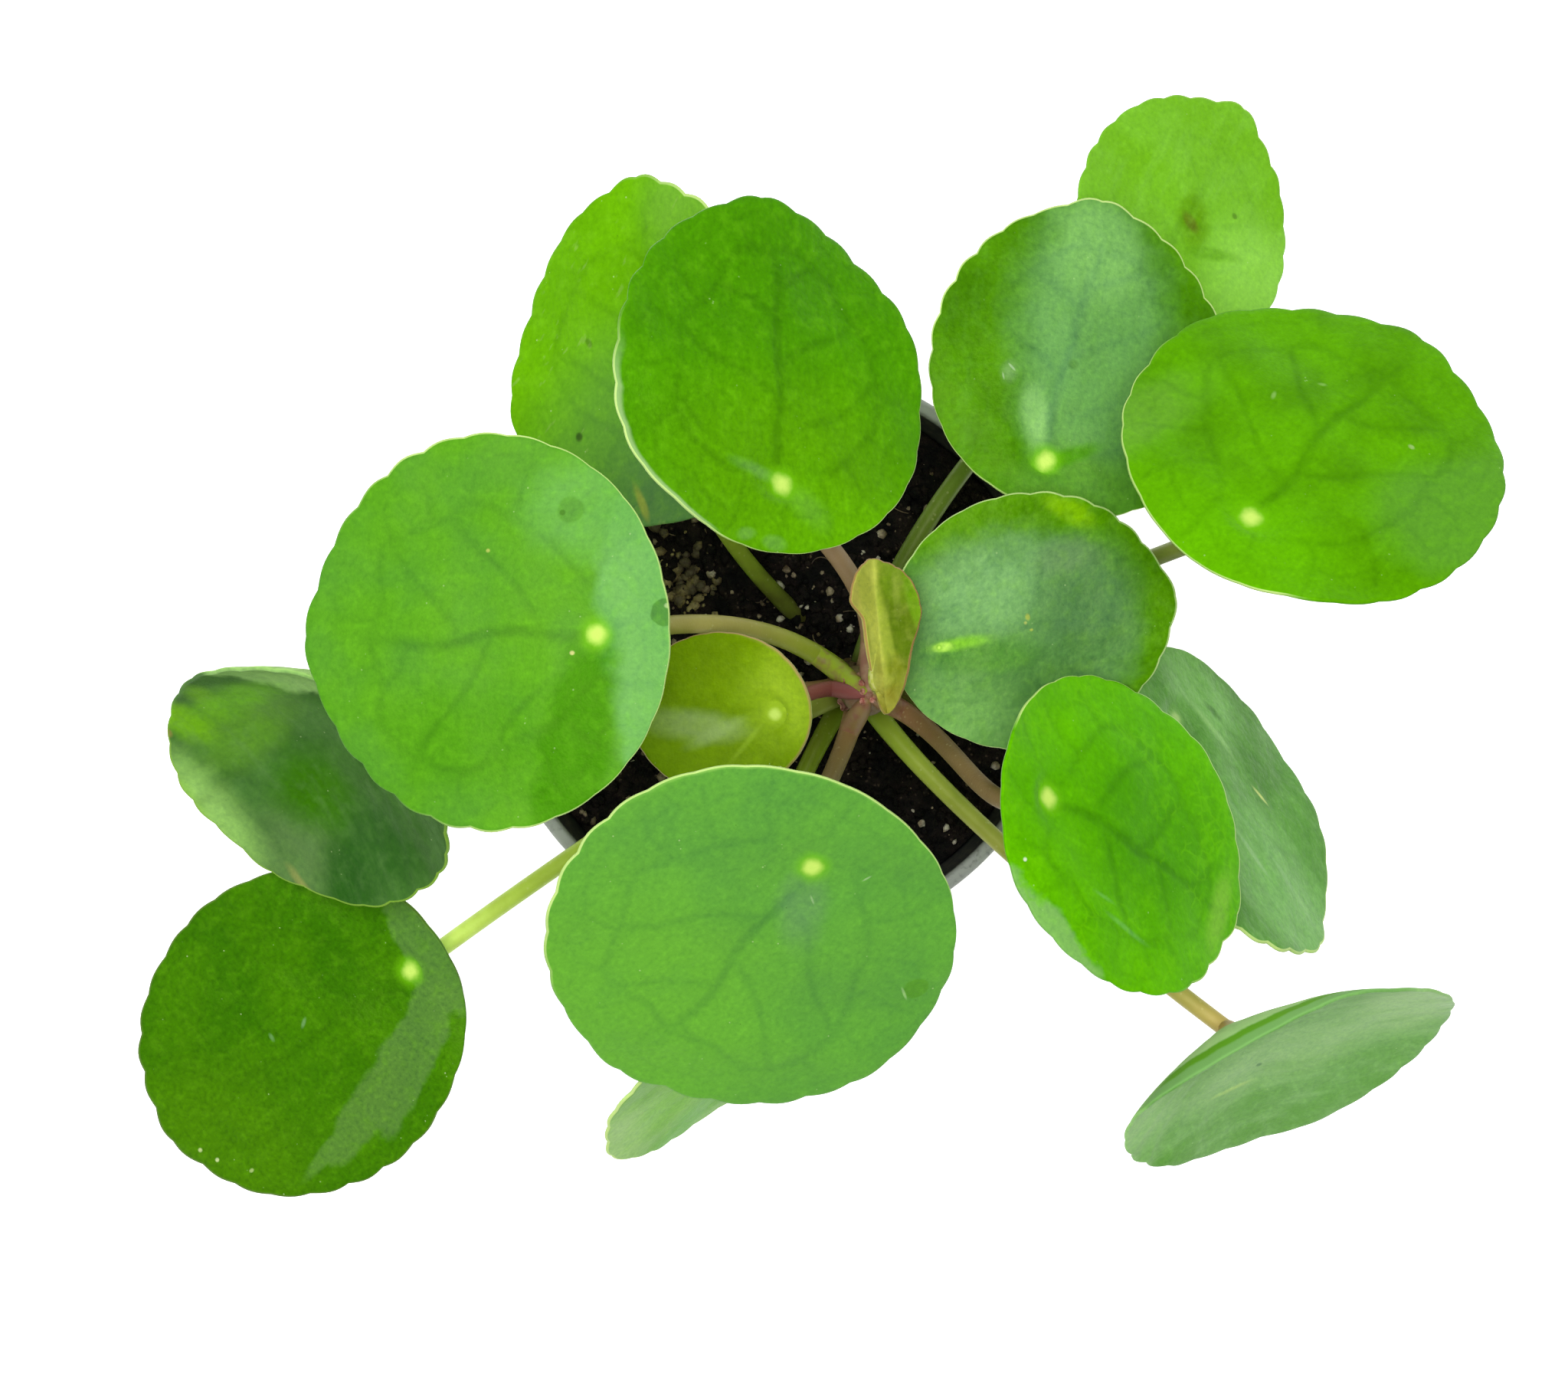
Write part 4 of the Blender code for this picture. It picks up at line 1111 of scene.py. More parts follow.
def spots_and_rim(tree, blade, tint, leaf, colour):
    """White and dark specks, the broad margin band (a painted sheen on some leaves), the spot over the stalk,
    and the thin line of the margin, which is a painted highlight where it is pale.
    """
    dots = cells(tree, blade.flat, 0.62)
    chosen = blade.noise(0.5, 2.0, 33.0)
    for size, low, high, dot in ((0.14, 0.61, 0.66, (178, 200, 140)), (0.11, 0.36, 0.32, (40, 60, 18))):
        speck = slope(dots, size, size * 0.5) * slope(chosen, low, high) * tint.specks
        colour = blend(tree, speck * 0.7, colour, linear(*dot))
    # A broader band at the margin: a painted sheen where the margin curves down on leaf_02 and leaf_06, and
    # the margin's own brownish colour on leaf_08.
    if tint.lip_and_sheen:
        toward, half, strength, start, lip_and_sheen_colour = tint.lip_and_sheen
        edge, full = math.cos(math.radians(half)), math.cos(math.radians(half * 0.55))
        lip_and_sheen = slope(blade.reach + (blade.mottle - 0.5) * 0.02, start, start + 0.035)
        lip_and_sheen = lip_and_sheen * slope(blade.facing(toward), edge, full) * strength
        colour = blend(tree, lip_and_sheen, colour, linear(*lip_and_sheen_colour))
    size = min(1.0, leaf.length / 55) * tint.spot
    from_spot = blade.distance + (blade.mottle - 0.5) * 1.8 * size
    colour = blend(tree, slope(from_spot, 4.6 * size, 1.2 * size) * 0.75, colour, linear(*tint.halo))
    colour = blend(tree, slope(from_spot, 2.6 * size, 0.6 * size), colour, linear(*tint.core))
    # The thin line of the margin: a painted highlight, drawn only on the side that catches the light.
    toward, half = tint.rim_highlight_side
    edge = math.cos(math.radians(half))
    rim = slope(blade.reach, 0.987, 0.992) * slope(blade.facing(toward), edge - 0.15, edge + 0.2)
    return blend(tree, rim * (blade.clouds * 0.8 + 0.45), colour, linear(*tint.rim))


def blade_finish(leaf, tint):
    """Both faces of a blade, the upper one laid over the lower one by the level of the point."""
    finish, tree, shader = new_finish(leaf.name + "_blade", Specular_IOR_Level=tint.mirror,
                                      Specular_Tint=(0.75, 1.0, 0.2))
    blade = Blade(tree, leaf)
    mottle, grain = blade.mottle, blade.grain
    colour = ground_colour(tree, blade, tint)
    strong, fine = veins(leaf, blade.along, blade.across, blade.reach)
    vein = (strong + fine * 0.75) * (blade.ragged * 2.2 - 0.1) * tint.vein_share
    colour = blend(tree, vein, colour, (0.68, 0.73, 0.97), "MULTIPLY")
    speckle = blade.noise(0.95, 4.0, 40.0)
    colour = blend(tree, slope(speckle, 0.5, 0.7) * tint.grainy, colour, (1.22, 1.2, 1.1), "MULTIPLY")
    colour = blend(tree, slope(speckle, 0.5, 0.32) * tint.grainy, colour, (0.78, 0.82, 0.9), "MULTIPLY")
    colour = blend(tree, slope(grain, 0.3, 0.75) * 0.35, colour, (0.8, 0.83, 0.85), "MULTIPLY")
    bent = added(tree, blade.flat, blade.at(mottle * 3.0, grain * 0.8))
    net = cells(tree, bent, 0.3, "DISTANCE_TO_EDGE")
    netted = slope(net, 0.1, 0.02) * slope(blade.ragged, 0.45, 0.55) * slope(blade.reach, 0.4, 0.6)
    colour = blend(tree, netted * tint.net, colour, linear(*tint.pale))
    colour = spots_and_rim(tree, blade, tint, leaf, colour)
    height = grain * 0.2 + mottle * 0.35 + speckle * tint.grainy * 0.5 - strong * 0.12 - fine * 0.08
    if tint.quilted:
        # Bumps for the normal, and painted shade that darkens the hollows.
        quilt = blade.noise(0.36, 2.0, 60.0)
        hollow_shade = slope(quilt, 0.52, 0.36) * min(tint.quilted * 0.3, 0.5)
        colour = blend(tree, hollow_shade, colour, (0.66, 0.74, 0.72), "MULTIPLY")
        height = height + quilt * tint.quilted
    under = blend(tree, (strong + fine * 0.7) * 0.4, linear(*tint.under), linear(186, 212, 142))
    under = blend(tree, slope(mottle, 0.4, 0.8) * 0.3, under, linear(*tint.ground))
    # Underside bands on the stalk's side; the darker one on leaf_16 is painted shade along the curled margin.
    for start, band in tint.under_band:
        share = slope(blade.reach + (mottle - 0.5) * 0.06, start, start + 0.06)
        under = blend(tree, share * slope(blade.facing(180), -0.2, 0.1), under, linear(*band))
    under_mask = slope(blade.level, 0.45, 0.2)
    gloss = (mottle - 0.5) * 0.14 + (grain - 0.5) * 0.1 + tint.rough
    connect(tree, shader, Base_Color=blend(tree, under_mask, colour, under),
            Roughness=gloss + under_mask * 0.25, Normal=bump(tree, height, 0.5, 0.0005))
    return finish


print("the busiest blade has", max(len(tint.patches) for tint in TINTS.values()), "patches")

# %% [markdown]
# ## The stalk's finish
#
# A stalk is pale where it meets the blade and turns brown or pink towards the stem. The share of the way,
# which the mesh carries, drives that change, so that it follows every bend of the tube. A cloudy noise
# shifts it to and fro, because no stalk changes its colour in a straight line.


# %% Build a stalk's finish
def stalk_finish(leaf, tint):
    """Three colours from the blade to the foot, with darker clouds and fine pale dots."""
    finish, tree, shader = new_finish(leaf.name + "_stalk", Specular_IOR_Level=0.25,
                                      Specular_Tint=(1.0, 0.95, 0.6))
    at = object_place(tree)
    cloud = noise(tree, at, 190.0, 3.0)
    grain = noise(tree, at, 1500.0, 2.0)
    where = attribute(tree, "share", 2) + (cloud - 0.5) * 0.16
    colour = blend(tree, slope(where, 0.04, 0.42), linear(*tint.head), linear(*tint.middle))
    colour = blend(tree, slope(where, 0.6, 0.97), colour, linear(*tint.foot))
    colour = blend(tree, slope(cloud, 0.35, 0.75) * 0.3, colour, (0.62, 0.56, 0.5), "MULTIPLY")
    colour = blend(tree, slope(cells(tree, at, 620.0), 0.2, 0.1) * 0.15, colour, linear(206, 200, 150))
    connect(tree, shader, Base_Color=colour, Roughness=grain * 0.2 + 0.34,
            Normal=bump(tree, grain * 0.4 + cloud * 0.6, 0.5, 0.0003))
    return finish


print(len({tint.foot for tint in TINTS.values()}), "colours for the feet of the stalks")


# %% Place the leaves
def place_piece(name, mesh, finishes, replaced=()):
    """A visible piece with its finishes, which rides on the plant's body."""
    for finish in finishes:
        mesh.materials.append(finish)
    piece = bpy.data.objects.new(name, mesh)
    bpy.context.scene.collection.objects.link(piece)
    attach(piece, "root")
    if replaced:
        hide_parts(*replaced)
    return piece


for leaf in LEAVES:
    finishes = [blade_finish(leaf, TINTS[leaf.name]), stalk_finish(leaf, TINTS[leaf.name])]
    place_piece(leaf.name + "_fine", leaf_meshes[leaf.name], finishes, [leaf.name])
print(len(LEAVES), "leaves dressed")

# %% [markdown]
# ## Stem
#
# The short stem is mostly hidden. What shows is its crown, where all the stalks meet: brown bark with a ring
# for every fallen leaf, a brownish pink bud, and small papery scales that once wrapped the young leaves. A
# tube is swept up the same line as in the CAD model, with many more rings, so that the scars become ridges.

# %% Sweep the stem
STEM_RINGS = 150
STEM_SIDES = 40
BUD_HEIGHT = 5.0
BUD_FORM = (  # share of the bud's height, radius
    (0.12, 3.6), (0.25, 2.9), (0.45, 2.3), (0.65, 1.8), (0.85, 1.2), (0.95, 0.8), (1.0, 0.4))


def kept_mesh(bm, name):
    """Writes a bmesh to a new mesh and frees it."""
    mesh = bpy.data.meshes.new(name)
    bm.to_mesh(mesh)
    bm.free()
    return mesh


def join(whole, part):
    """Adds one bmesh to another. A bmesh only takes in a mesh, so the part becomes one on its way."""
    mesh = kept_mesh(part, "part")
    whole.from_mesh(mesh)
    bpy.data.meshes.remove(mesh)


def add_object(name, bm, finishes, replaced=()):
    """Turns a bmesh in millimetres into a smooth piece in metres."""
    for face in bm.faces:
        face.smooth = True
    bmesh.ops.scale(bm, vec=(MM, MM, MM), verts=bm.verts)
    return place_piece(name, kept_mesh(bm, name), finishes, replaced)


def sweep(frames, radii, sides):
    """A closed tube through a row of frames."""
    bm = bmesh.new()
    bmesh.ops.create_circle(bm, cap_ends=True, segments=sides, radius=radii[0], matrix=frames[0])
    extrude_along(bm, bm.faces[:][0], frames, radii)
    bmesh.ops.holes_fill(bm, edges=bm.edges[:], sides=sides)
    bmesh.ops.recalc_face_normals(bm, faces=bm.faces)
    return bm


stem_frames, stem_radii = [], []
for step in range(STEM_RINGS + 1):
    height = STEM_FOOT.z + (STEM_CROWN.z - STEM_FOOT.z) * step / STEM_RINGS
    stem_frames.append(frame_at(stem_point(height), STEM_AXIS, Vector((1, 0, 0))))
    stem_radii.append(stem_radius(height))
for rise, radius in BUD_FORM:
    stem_frames.append(frame_at(STEM_CROWN + STEM_AXIS * BUD_HEIGHT * rise, STEM_AXIS, Vector((1, 0, 0))))
    stem_radii.append(radius)
stem_bm = sweep(stem_frames, stem_radii, STEM_SIDES)
bark = random.Random(7)
for vert in stem_bm.verts:
    middle = stem_point(vert.co.z)
    out = (vert.co - middle).normalized()
    turn = math.atan2(out.y, out.x)
    rough = 0.06 * math.sin(7 * turn + vert.co.z * 0.9) + 0.05 * math.sin(13 * turn - vert.co.z * 2.3)
    vert.co += out * (rough + bark.uniform(-0.02, 0.02))
print("stem:", STEM_RINGS + len(BUD_FORM), "rings of", STEM_SIDES, "points")

# %% [markdown]
# ## Bark
#
# The bark is brown and fibrous below. Towards the crown it turns the colour of the young stalks that wrap
# it, and the bud is pinkish. The height of a point, read from its own coordinates in metres, decides.

# %% Finish for bark
bark_finish, tree, shader = new_finish("stem_bark", Specular_IOR_Level=0.35)
at = object_place(tree)
_, _, height = split(tree, at)
cloud = noise(tree, at, 420.0, 4.0)
fibres = noise(tree, stretched(tree, at, (1800.0, 1800.0, 260.0)), 1.0, 3.0)
colour = blend(tree, slope(cloud, 0.35, 0.7), linear(96, 74, 46), linear(62, 46, 30))
colour = blend(tree, slope(fibres, 0.5, 0.75) * 0.4, colour, linear(132, 112, 74))
colour = blend(tree, slope(height, 0.104, 0.122), colour, linear(112, 98, 58))
colour = blend(tree, slope(height + (cloud - 0.5) * 0.006, 0.1225, 0.1275), colour, linear(92, 74, 46))
colour = blend(tree, slope(height + (cloud - 0.5) * 0.006, 0.1265, 0.1305), colour, linear(122, 84, 66))
connect(tree, shader, Base_Color=colour, Roughness=cloud * 0.25 + 0.45,
        Normal=bump(tree, fibres * 0.6 + cloud * 0.4, 0.7, 0.0005))
stem_piece = add_object("stem_fine", stem_bm, [bark_finish], ["stem"])
print("stem:", len(stem_piece.data.polygons), "faces")

# %% [markdown]
# ## Bases of the stalks
#
# Seen from above, hardly any bark shows: the youngest stalks wrap their bases over the stem's top and meet at
# the bud. Each base is a short tube that leaves its stalk just before the foot, climbs the crown's shoulder
# and thins out at the top.

# %% Wrap the bases over the crown
WRAPPED = ("leaf_02", "leaf_03", "leaf_06", "leaf_08", "leaf_10", "leaf_14")
BASE_STEPS = 16
BASE_START = -5  # the ring of the stalk, counted from its foot, where the base leaves it
base_bm = bmesh.new()
base_finishes = []
for leaf in LEAVES:
    if leaf.name not in WRAPPED:
        continue
    frames, radii, _ = stalk_path(leaf)
    foot, out, _ = stalk_foot(leaf)
    sideways = frames[-1].col[0].xyz
    control = (frames[BASE_START].translation, foot + STEM_AXIS * 3 + out * 0.5,
               STEM_CROWN + out * 3.4 + STEM_AXIS * 2.2, STEM_CROWN + out * 0.5 + STEM_AXIS * 4.4)
    rings, widths = [], []
    for step in range(BASE_STEPS + 1):
        share = step / BASE_STEPS
        rings.append(frame_at(*bezier(control, share), sideways))
        widths.append(radii[BASE_START] * (0.96 + 0.3 * share - 0.9 * share ** 3))
    tube = sweep(rings, widths, 20)
    for face in tube.faces:
        face.material_index = len(base_finishes)
    join(base_bm, tube)
    finish, tree, shader = new_finish(leaf.name + "_base", Roughness=0.5, Specular_IOR_Level=0.2)
    cloud = noise(tree, object_place(tree), 420.0, 4.0)
    foot_colour = linear(*TINTS[leaf.name].foot)
    colour = blend(tree, slope(cloud, 0.42, 0.66) * 0.6, foot_colour, linear(116, 66, 60))
    connect(tree, shader, Base_Color=colour, Normal=bump(tree, cloud, 0.4, 0.0003))
    base_finishes.append(finish)
add_object("stalk_bases", base_bm, base_finishes)
print(len(base_finishes), "bases")

# %% [markdown]
# ## Scales at the crown
#
# Each young leaf of a Pilea leaves a pair of small pointed scales at its foot. They dry to a curled, papery
# pink. A scale is a small grid, narrowed to a point, rolled across and bent back, and then given a thickness.

# %% Curl the scales
SCALES = (  # place, heading, lean in degrees, length, width
    ((17.6, -4.6, 126.0), 70, 62, 5.0, 3.0),
    ((14.0, -6.4, 124.0), 160, 50, 5.5, 3.2),
    ((15.8, -11.6, 124.2), 245, 52, 5.2, 3.0),
    ((20.6, -10.4, 124.6), 325, 55, 5.0, 2.8),
    ((20.4, -6.8, 127.0), 20, 66, 4.2, 2.4),
    ((13.6, -9.8, 118.0), 205, 40, 4.6, 2.8),
    ((16.6, -7.4, 130.4), 118, 16, 3.4, 1.3),
    ((16.8, -8.8, 130.8), 236, 20, 3.0, 1.5),
    ((17.2, -8.0, 131.2), 170, 14, 2.6, 1.6),
    ((17.6, -8.6, 131.0), 300, 24, 2.8, 1.4),
)
scale_bm = bmesh.new()
for place, heading, lean, length, width in SCALES:
    grid = bmesh.ops.create_grid(scale_bm, x_segments=14, y_segments=8, size=0.5)["verts"]
    for vert in grid:
        t, side = vert.co.x + 0.5, vert.co.y * 2
        half = width / 2 * (1 - t ** 2.2) ** 0.8 + 0.08
        lift = 1.35 * t * t - 0.9 * half * side * side + 0.5
        vert.co = Vector((length * (t - 0.22 * t ** 3), side * half, lift))
    turn = Matrix.Rotation(math.radians(heading), 4, "Z") @ Matrix.Rotation(-math.radians(lean), 4, "Y")
    bmesh.ops.transform(scale_bm, matrix=Matrix.Translation(place) @ turn, verts=grid)
bmesh.ops.solidify(scale_bm, geom=scale_bm.faces[:], thickness=0.22)
bmesh.ops.recalc_face_normals(scale_bm, faces=scale_bm.faces)
scale_finish, tree, shader = new_finish("papery_scale", Roughness=0.6)
cloud = noise(tree, object_place(tree), 700.0, 3.0)
colour = blend(tree, slope(cloud, 0.35, 0.6), linear(206, 152, 136), linear(142, 74, 66))
colour = blend(tree, slope(cloud, 0.58, 0.75) * 0.7, colour, linear(228, 200, 178))
connect(tree, shader, Base_Color=colour, Normal=bump(tree, cloud, 0.5, 0.0003))
add_object("crown_scales", scale_bm, [scale_finish])
print(len(SCALES), "scales")

# %% [markdown]
# ## Soil
#
# Potting peat is nearly black and made of crumbs, with pale grit mixed in. One lumpy surface gives the body:
# the same block as in the CAD model, turned with many more rings, its top raised and sunk by the same waves
# and by finer noise.

# %% Turn the soil block
POT_HEIGHT, POT_RIM_RADIUS, POT_FOOT_RADIUS = 100.0, 60.0, 42.5
POT_WALL, POT_FLOOR, POT_BAND_STEP = 1.4, 2.4, 1.6
SOIL_TOP = 90.0
SOIL_SIDES = 120
SOIL_RINGS = 54


def pot_inside(height):
    """Radius of the pot's inner wall."""
    share = height / POT_HEIGHT
    return POT_FOOT_RADIUS + (POT_RIM_RADIUS - POT_BAND_STEP - POT_FOOT_RADIUS) * share - POT_WALL


def noise_at(x, y):
    """Smooth noise about 0, the same on every run."""
    return field.noise(Vector((x, y, 3.7)))


def soil_height(x, y):
    """The CAD model's slow waves, with crumbly noise on top."""
    lump = math.sin(0.31 * x + 1.3) * math.cos(0.27 * y - 0.4)
    lump += 0.6 * math.sin(0.53 * x - 0.61 * y) + 0.5 * math.cos(0.83 * y + 0.47 * x + 2.0)
    crumb = noise_at(x * 0.42, y * 0.42) * 0.9 + noise_at(x * 1.1, y * 1.1) * 0.6
    return SOIL_TOP + 0.65 * lump + crumb


def turned(profile, sides):
    """A closed solid turned from a profile of (radius, height) that starts and ends on the axis."""
    bm = bmesh.new()
    points = [bm.verts.new((radius, 0.0, height)) for radius, height in profile]
    edges = [bm.edges.new(pair) for pair in zip(points, points[1:])]
    bmesh.ops.spin(bm, geom=points + edges, cent=(0, 0, 0), axis=(0, 0, 1), angle=math.tau, steps=sides,
                   use_merge=True)
    bmesh.ops.remove_doubles(bm, verts=bm.verts, dist=1e-4)
    bmesh.ops.recalc_face_normals(bm, faces=bm.faces)
    return bm


floor_level = POT_FLOOR + GAP
rim = pot_inside(SOIL_TOP) - GAP
profile = [(0.0, floor_level), (pot_inside(floor_level) - GAP, floor_level)]
profile += [(rim * (SOIL_RINGS - ring) / SOIL_RINGS, SOIL_TOP) for ring in range(SOIL_RINGS + 1)]
soil_bm = turned(profile, SOIL_SIDES)
for vert in soil_bm.verts:
    if vert.co.z > SOIL_TOP - 1:
        vert.co.z = soil_height(vert.co.x, vert.co.y)
print("soil:", len(soil_bm.faces), "faces, its top at about", SOIL_TOP, "mm")

# %% [markdown]
# ## Peat
#
# Moist peat swallows nearly all light, so its ground colour is close to black. A noise with strong small
# detail gives it brown lumps, cells make the fine crumbs, and a wide faint noise keeps one area from looking
# like the next.

# %% Finish for peat
peat_finish, tree, shader = new_finish("peat", Specular_IOR_Level=0.12)
at = object_place(tree)
lumps = noise(tree, at, 260.0, 6.0, Roughness=0.7)
crumbs = cells(tree, at, 700.0)
patchy = noise(tree, at, 60.0, 2.0)
colour = blend(tree, slope(lumps, 0.4, 0.7), linear(7, 6, 7), linear(36, 27, 25))
colour = blend(tree, slope(crumbs, 0.3, 0.12) * slope(lumps, 0.48, 0.62) * 0.65, colour, linear(92, 76, 68))
colour = blend(tree, slope(patchy, 0.58, 0.75) * 0.2, colour, linear(52, 40, 32))
connect(tree, shader, Base_Color=colour, Roughness=lumps * 0.3 + 0.6,
        Normal=bump(tree, lumps * 1.2 - crumbs * 0.6, 0.9, 0.0012))
soil_piece = add_object("soil_fine", soil_bm, [peat_finish], ["soil"])
print(soil_piece.name, "wears", peat_finish.name)

# %% [markdown]
# ## Crumbs and grit
#
# Loose crumbs and grit lie on the soil as separate small stones, because their edges and little shadows are
# what makes soil read as soil. There are thousands, so each is the plainest ball with twenty faces, dented
# and squashed at random. Most are small and a few are large, as a sieve leaves them.


# %% Scatter crumbs and grit
def stones(count, smallest, largest, seed, place_at, squash=0.7):
    """Small uneven lumps, partly sunk in the soil."""
    draw = random.Random(seed)
    bm = bmesh.new()
    for _ in range(count):
        x, y = place_at(draw)
        if math.hypot(x, y) > rim - largest:
            continue
        radius = smallest + (largest - smallest) * draw.random() ** 2.5
        verts = bmesh.ops.create_icosphere(bm, subdivisions=1, radius=radius)["verts"]
        for vert in verts:
            vert.co *= draw.uniform(0.72, 1.2)
        turn = Matrix.Rotation(draw.uniform(0, 6.3), 4, (draw.random(), draw.random(), draw.random() + 0.1))
        flat = Matrix.Diagonal((draw.uniform(0.8, 1.3), draw.uniform(0.7, 1.1), squash, 1.0))
        spin = Matrix.Rotation(draw.uniform(0, 6.3), 4, "Z")
        lift = Matrix.Translation((x, y, soil_height(x, y) + radius * 0.3))
        bmesh.ops.transform(bm, matrix=lift @ spin @ flat @ turn, verts=verts)
    return bm


def anywhere(draw):
    """A place on the soil, all places being equally likely."""
    radius, turn = rim * math.sqrt(draw.random()), draw.uniform(0, math.tau)
    return radius * math.cos(turn), radius * math.sin(turn)


def sandy_corner(draw):
    """A place in the sandier patch of grit."""
    return draw.gauss(-21, 3.2), draw.gauss(14, 4.5)


crumb_bm = stones(count=2200, smallest=0.45, largest=1.9, seed=11, place_at=anywhere)
crumb_piece = add_object("peat_crumbs", crumb_bm, [peat_finish])
print("crumbs:", len(crumb_piece.data.polygons), "faces")

# %% [markdown]
# ## Grit
#
# The grit is pale mineral grain, mostly beige and here and there nearly white, with peat sticking to it. The
# noise is so wide that it hardly changes within one grain, which gives each grain its own tone. A sandier
# patch of grit lies to one side of the crown.


# %% Finish for grit
def grit_finish(name, dark, light, white):
    """Pale mineral grains, some of them nearly white, with darker soil clinging to them."""
    finish, tree, shader = new_finish(name)
    at = object_place(tree)
    tone = noise(tree, at, 170.0, 1.0)
    grain = noise(tree, at, 1600.0, 3.0)
    colour = blend(tree, slope(tone, 0.42, 0.56), linear(*dark), linear(*light))
    colour = blend(tree, slope(tone, 0.56, 0.63) * 0.8, colour, linear(*white))
    colour = blend(tree, slope(grain, 0.45, 0.65) * 0.5, colour, linear(52, 40, 30))
    connect(tree, shader, Base_Color=colour, Roughness=grain * 0.3 + 0.55,
            Normal=bump(tree, grain, 0.7, 0.0004))
    return finish


pale_grit = grit_finish("pale_grit", (88, 70, 50), (146, 128, 108), (192, 182, 172))
sandy_grit = grit_finish("sandy_grit", (70, 58, 38), (122, 104, 66), (150, 132, 92))
grit_bm = stones(count=760, smallest=0.22, largest=1.25, seed=5, place_at=anywhere, squash=0.8)
grit_piece = add_object("grit", grit_bm, [pale_grit])
corner_bm = stones(count=120, smallest=0.4, largest=1.8, seed=8, place_at=sandy_corner)
corner_piece = add_object("sandy_corner", corner_bm, [sandy_grit])
print("grit:", len(grit_piece.data.polygons), "faces, sandy corner:", len(corner_piece.data.polygons))

# %% [markdown]
# ## Root fibres
#
# A few thin pale roots and peat fibres lie on the soil. Each is a very thin tube along a wandering line that
# follows the soil's height.

# %% Lay the fibres
FIBRES = 26
FIBRE_STEPS = 9

fibre_bm = bmesh.new()
draw = random.Random(21)
for _ in range(FIBRES):
    x, y = anywhere(draw)
    x, y = x * 0.93, y * 0.93
    way, bend = draw.uniform(0, math.tau), draw.uniform(-0.35, 0.35)
    length, thickness = draw.uniform(3, 9), draw.uniform(0.07, 0.16)
    frames = []
    for step in range(FIBRE_STEPS):
        lift = 0.5 + 0.5 * math.sin(step * 0.8 + way)
        frames.append(frame_at(Vector((x, y, soil_height(x, y) + lift)),
                               Vector((math.cos(way), math.sin(way), 0)), Vector((0, 0, 1))))
        x += math.cos(way) * length / (FIBRE_STEPS - 1)
        y += math.sin(way) * length / (FIBRE_STEPS - 1)
        way += bend
        if math.hypot(x, y) > rim - 1:
            break
    if len(frames) >= 3:
        join(fibre_bm, sweep(frames, [thickness] * len(frames), 6))
fibre_finish, tree, shader = new_finish("root_fibre", Roughness=0.7)
tone = noise(tree, object_place(tree), 120.0, 2.0)
connect(tree, shader, Base_Color=blend(tree, slope(tone, 0.4, 0.6), linear(62, 48, 38), linear(112, 92, 72)))
fibre_piece = add_object("root_fibres", fibre_bm, [fibre_finish])
print("fibres:", len(fibre_piece.data.polygons), "faces")

# %% [markdown]
# ## Pot
#
# A nursery pot is thin moulded plastic: a tapered wall, a stiff band below the rim, a flat floor with a ring
# of drain holes. The profile is turned in many small steps so that the rim is truly round, and the holes are
# cut with the Boolean modifier, whose result is kept as the mesh.

# %% Turn the pot and cut its drain holes
POT_SIDES = 160
POT_BAND = 9.0
DRAIN_RADIUS, DRAIN_RING, DRAIN_HOLES = 4.0, 33.0, 8


def rounded(profile, radius, steps=4):
    """Rounds the corners of a profile with short arcs."""
    points = [Vector(point) for point in profile]
    smooth = [points[0]]
    for before, corner, after in zip(points, points[1:], points[2:]):
        reach = min(radius, (before - corner).length * 0.45, (after - corner).length * 0.45)
        start = corner + (before - corner).normalized() * reach
        end = corner + (after - corner).normalized() * reach
        for step in range(steps + 1):
            share = step / steps
            smooth.append(start.lerp(corner, share).lerp(corner.lerp(end, share), share))
    return [tuple(point) for point in smooth + [points[-1]]]


band_foot = POT_HEIGHT - POT_BAND
below_band = POT_FOOT_RADIUS + (POT_RIM_RADIUS - POT_BAND_STEP - POT_FOOT_RADIUS) * band_foot / POT_HEIGHT
profile = [(0.0, 0.0), (POT_FOOT_RADIUS - 0.3, 0.0), (POT_FOOT_RADIUS + 0.1, 1.0),
           (below_band, band_foot - 1.2), (POT_RIM_RADIUS - 0.6, band_foot),
           (POT_RIM_RADIUS, POT_HEIGHT - 0.9),
           (POT_RIM_RADIUS - 0.9, POT_HEIGHT), (pot_inside(POT_HEIGHT) + 0.5, POT_HEIGHT),
           (pot_inside(POT_HEIGHT), POT_HEIGHT - 1.2), (pot_inside(POT_FLOOR), POT_FLOOR), (0.0, POT_FLOOR)]
pot_bm = turned(rounded(profile, 0.8), POT_SIDES)
cutter_bm = bmesh.new()
for hole in range(DRAIN_HOLES):
    turn = math.tau * hole / DRAIN_HOLES
    place = Matrix.Translation((DRAIN_RING * math.cos(turn), DRAIN_RING * math.sin(turn), POT_FLOOR / 2))
    bmesh.ops.create_cone(cutter_bm, cap_ends=True, segments=32, radius1=DRAIN_RADIUS, radius2=DRAIN_RADIUS,
                          depth=4 * POT_FLOOR, matrix=place)
cutter_mesh, whole_mesh = kept_mesh(cutter_bm, "drain_cutter"), kept_mesh(pot_bm, "whole_pot")
cutter = bpy.data.objects.new("drain_cutter", cutter_mesh)
whole = bpy.data.objects.new("whole_pot", whole_mesh)
for thing in (cutter, whole):
    bpy.context.scene.collection.objects.link(thing)
cut = whole.modifiers.new("drain", "BOOLEAN")
cut.operation = "DIFFERENCE"
cut.solver = "MANIFOLD"
cut.object = cutter
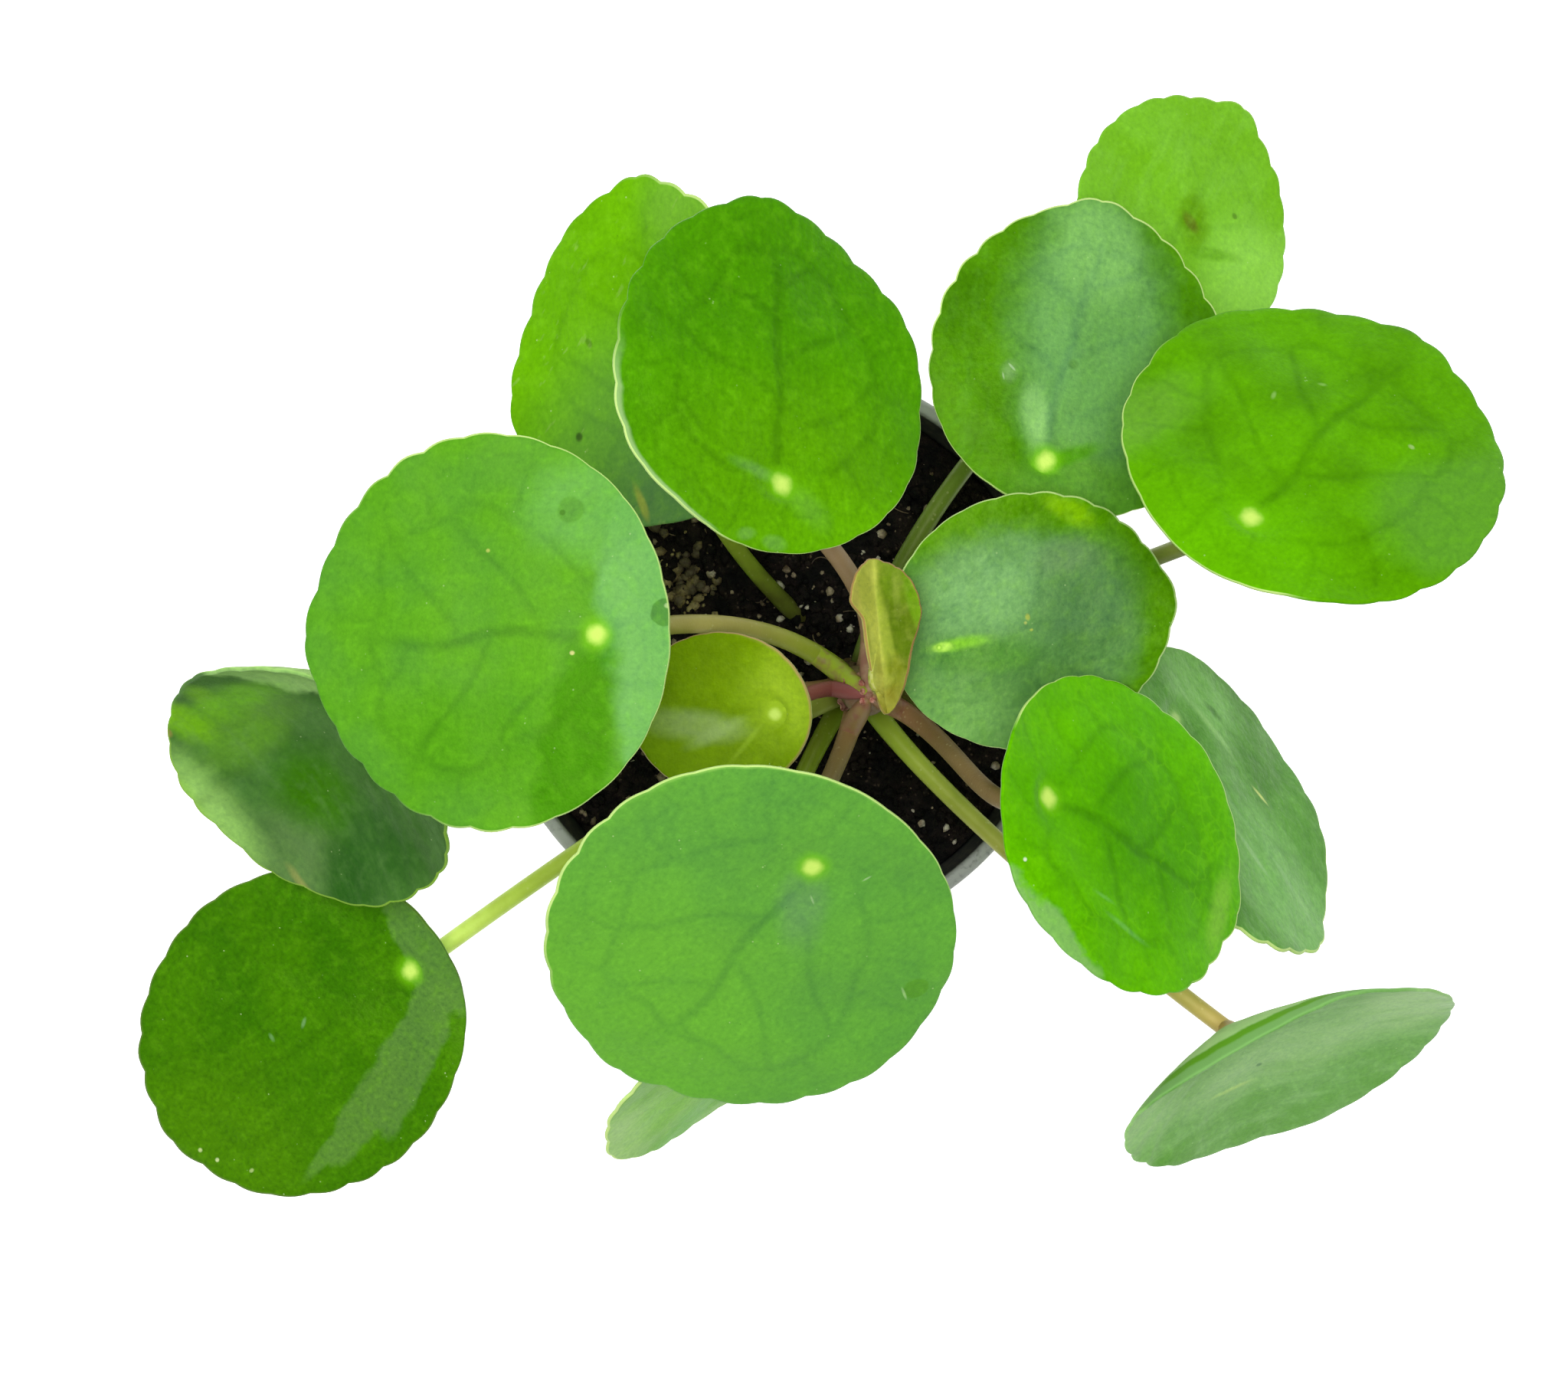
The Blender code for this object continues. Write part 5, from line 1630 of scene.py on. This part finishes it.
cut_mesh = bpy.data.meshes.new_from_object(whole.evaluated_get(bpy.context.evaluated_depsgraph_get()))
pot_bm = bmesh.new()
pot_bm.from_mesh(cut_mesh)
for thing in (cutter, whole):
    bpy.data.objects.remove(thing, do_unlink=True)
for mesh in (cutter_mesh, whole_mesh, cut_mesh):
    bpy.data.meshes.remove(mesh)
print("pot:", DRAIN_HOLES, "drain holes cut, wall", POT_WALL, "mm")

# %% [markdown]
# ## Dusty plastic
#
# The plastic is nearly black. Dust greys the top of the rim, splashes of soil dry on the inner wall, and lime
# runs down the outside in pale streaks. Each of the three is a mask made of a height and a noise, and the
# streaks are a noise stretched along the wall.

# %% Finish for the pot
pot_finish, tree, shader = new_finish("nursery_plastic", Specular_IOR_Level=0.45)
at = object_place(tree)
x, y, z = split(tree, at)
cloud = noise(tree, at, 55.0, 4.0)
grain = noise(tree, at, 900.0, 3.0)
streaks = noise(tree, stretched(tree, at, (260.0, 260.0, 14.0)), 1.0, 3.0)
radius = root(x * x + y * y)
dust = slope(z, 0.0982, 0.0994) * slope(grain * 0.5 + cloud * 0.5, 0.2, 0.5)
lime = slope(streaks, 0.52, 0.74) * slope(cloud, 0.4, 0.65) * slope(z, 0.095, 0.06) * 0.22
inner = slope(radius, 0.0575, 0.057) * slope(z, 0.088, 0.092)
colour = blend(tree, slope(cloud, 0.35, 0.7), linear(38, 38, 40), linear(52, 52, 54))
colour = blend(tree, lime, colour, linear(146, 142, 134))
colour = blend(tree, inner * slope(grain, 0.45, 0.7) * 0.5, colour, linear(92, 84, 74))
colour = blend(tree, dust * 0.85, colour, linear(168, 168, 170))
connect(tree, shader, Base_Color=colour, Roughness=cloud * 0.15 + dust * 0.25 + lime * 0.5 + 0.4,
        Normal=bump(tree, grain * 0.5 + streaks * 0.4, 0.35, 0.0003))
pot_piece = add_object("pot_fine", pot_bm, [pot_finish], ["pot"])
pot_piece.data.set_sharp_from_angle(angle=math.radians(40))
print("pot:", len(pot_piece.data.polygons), "faces")
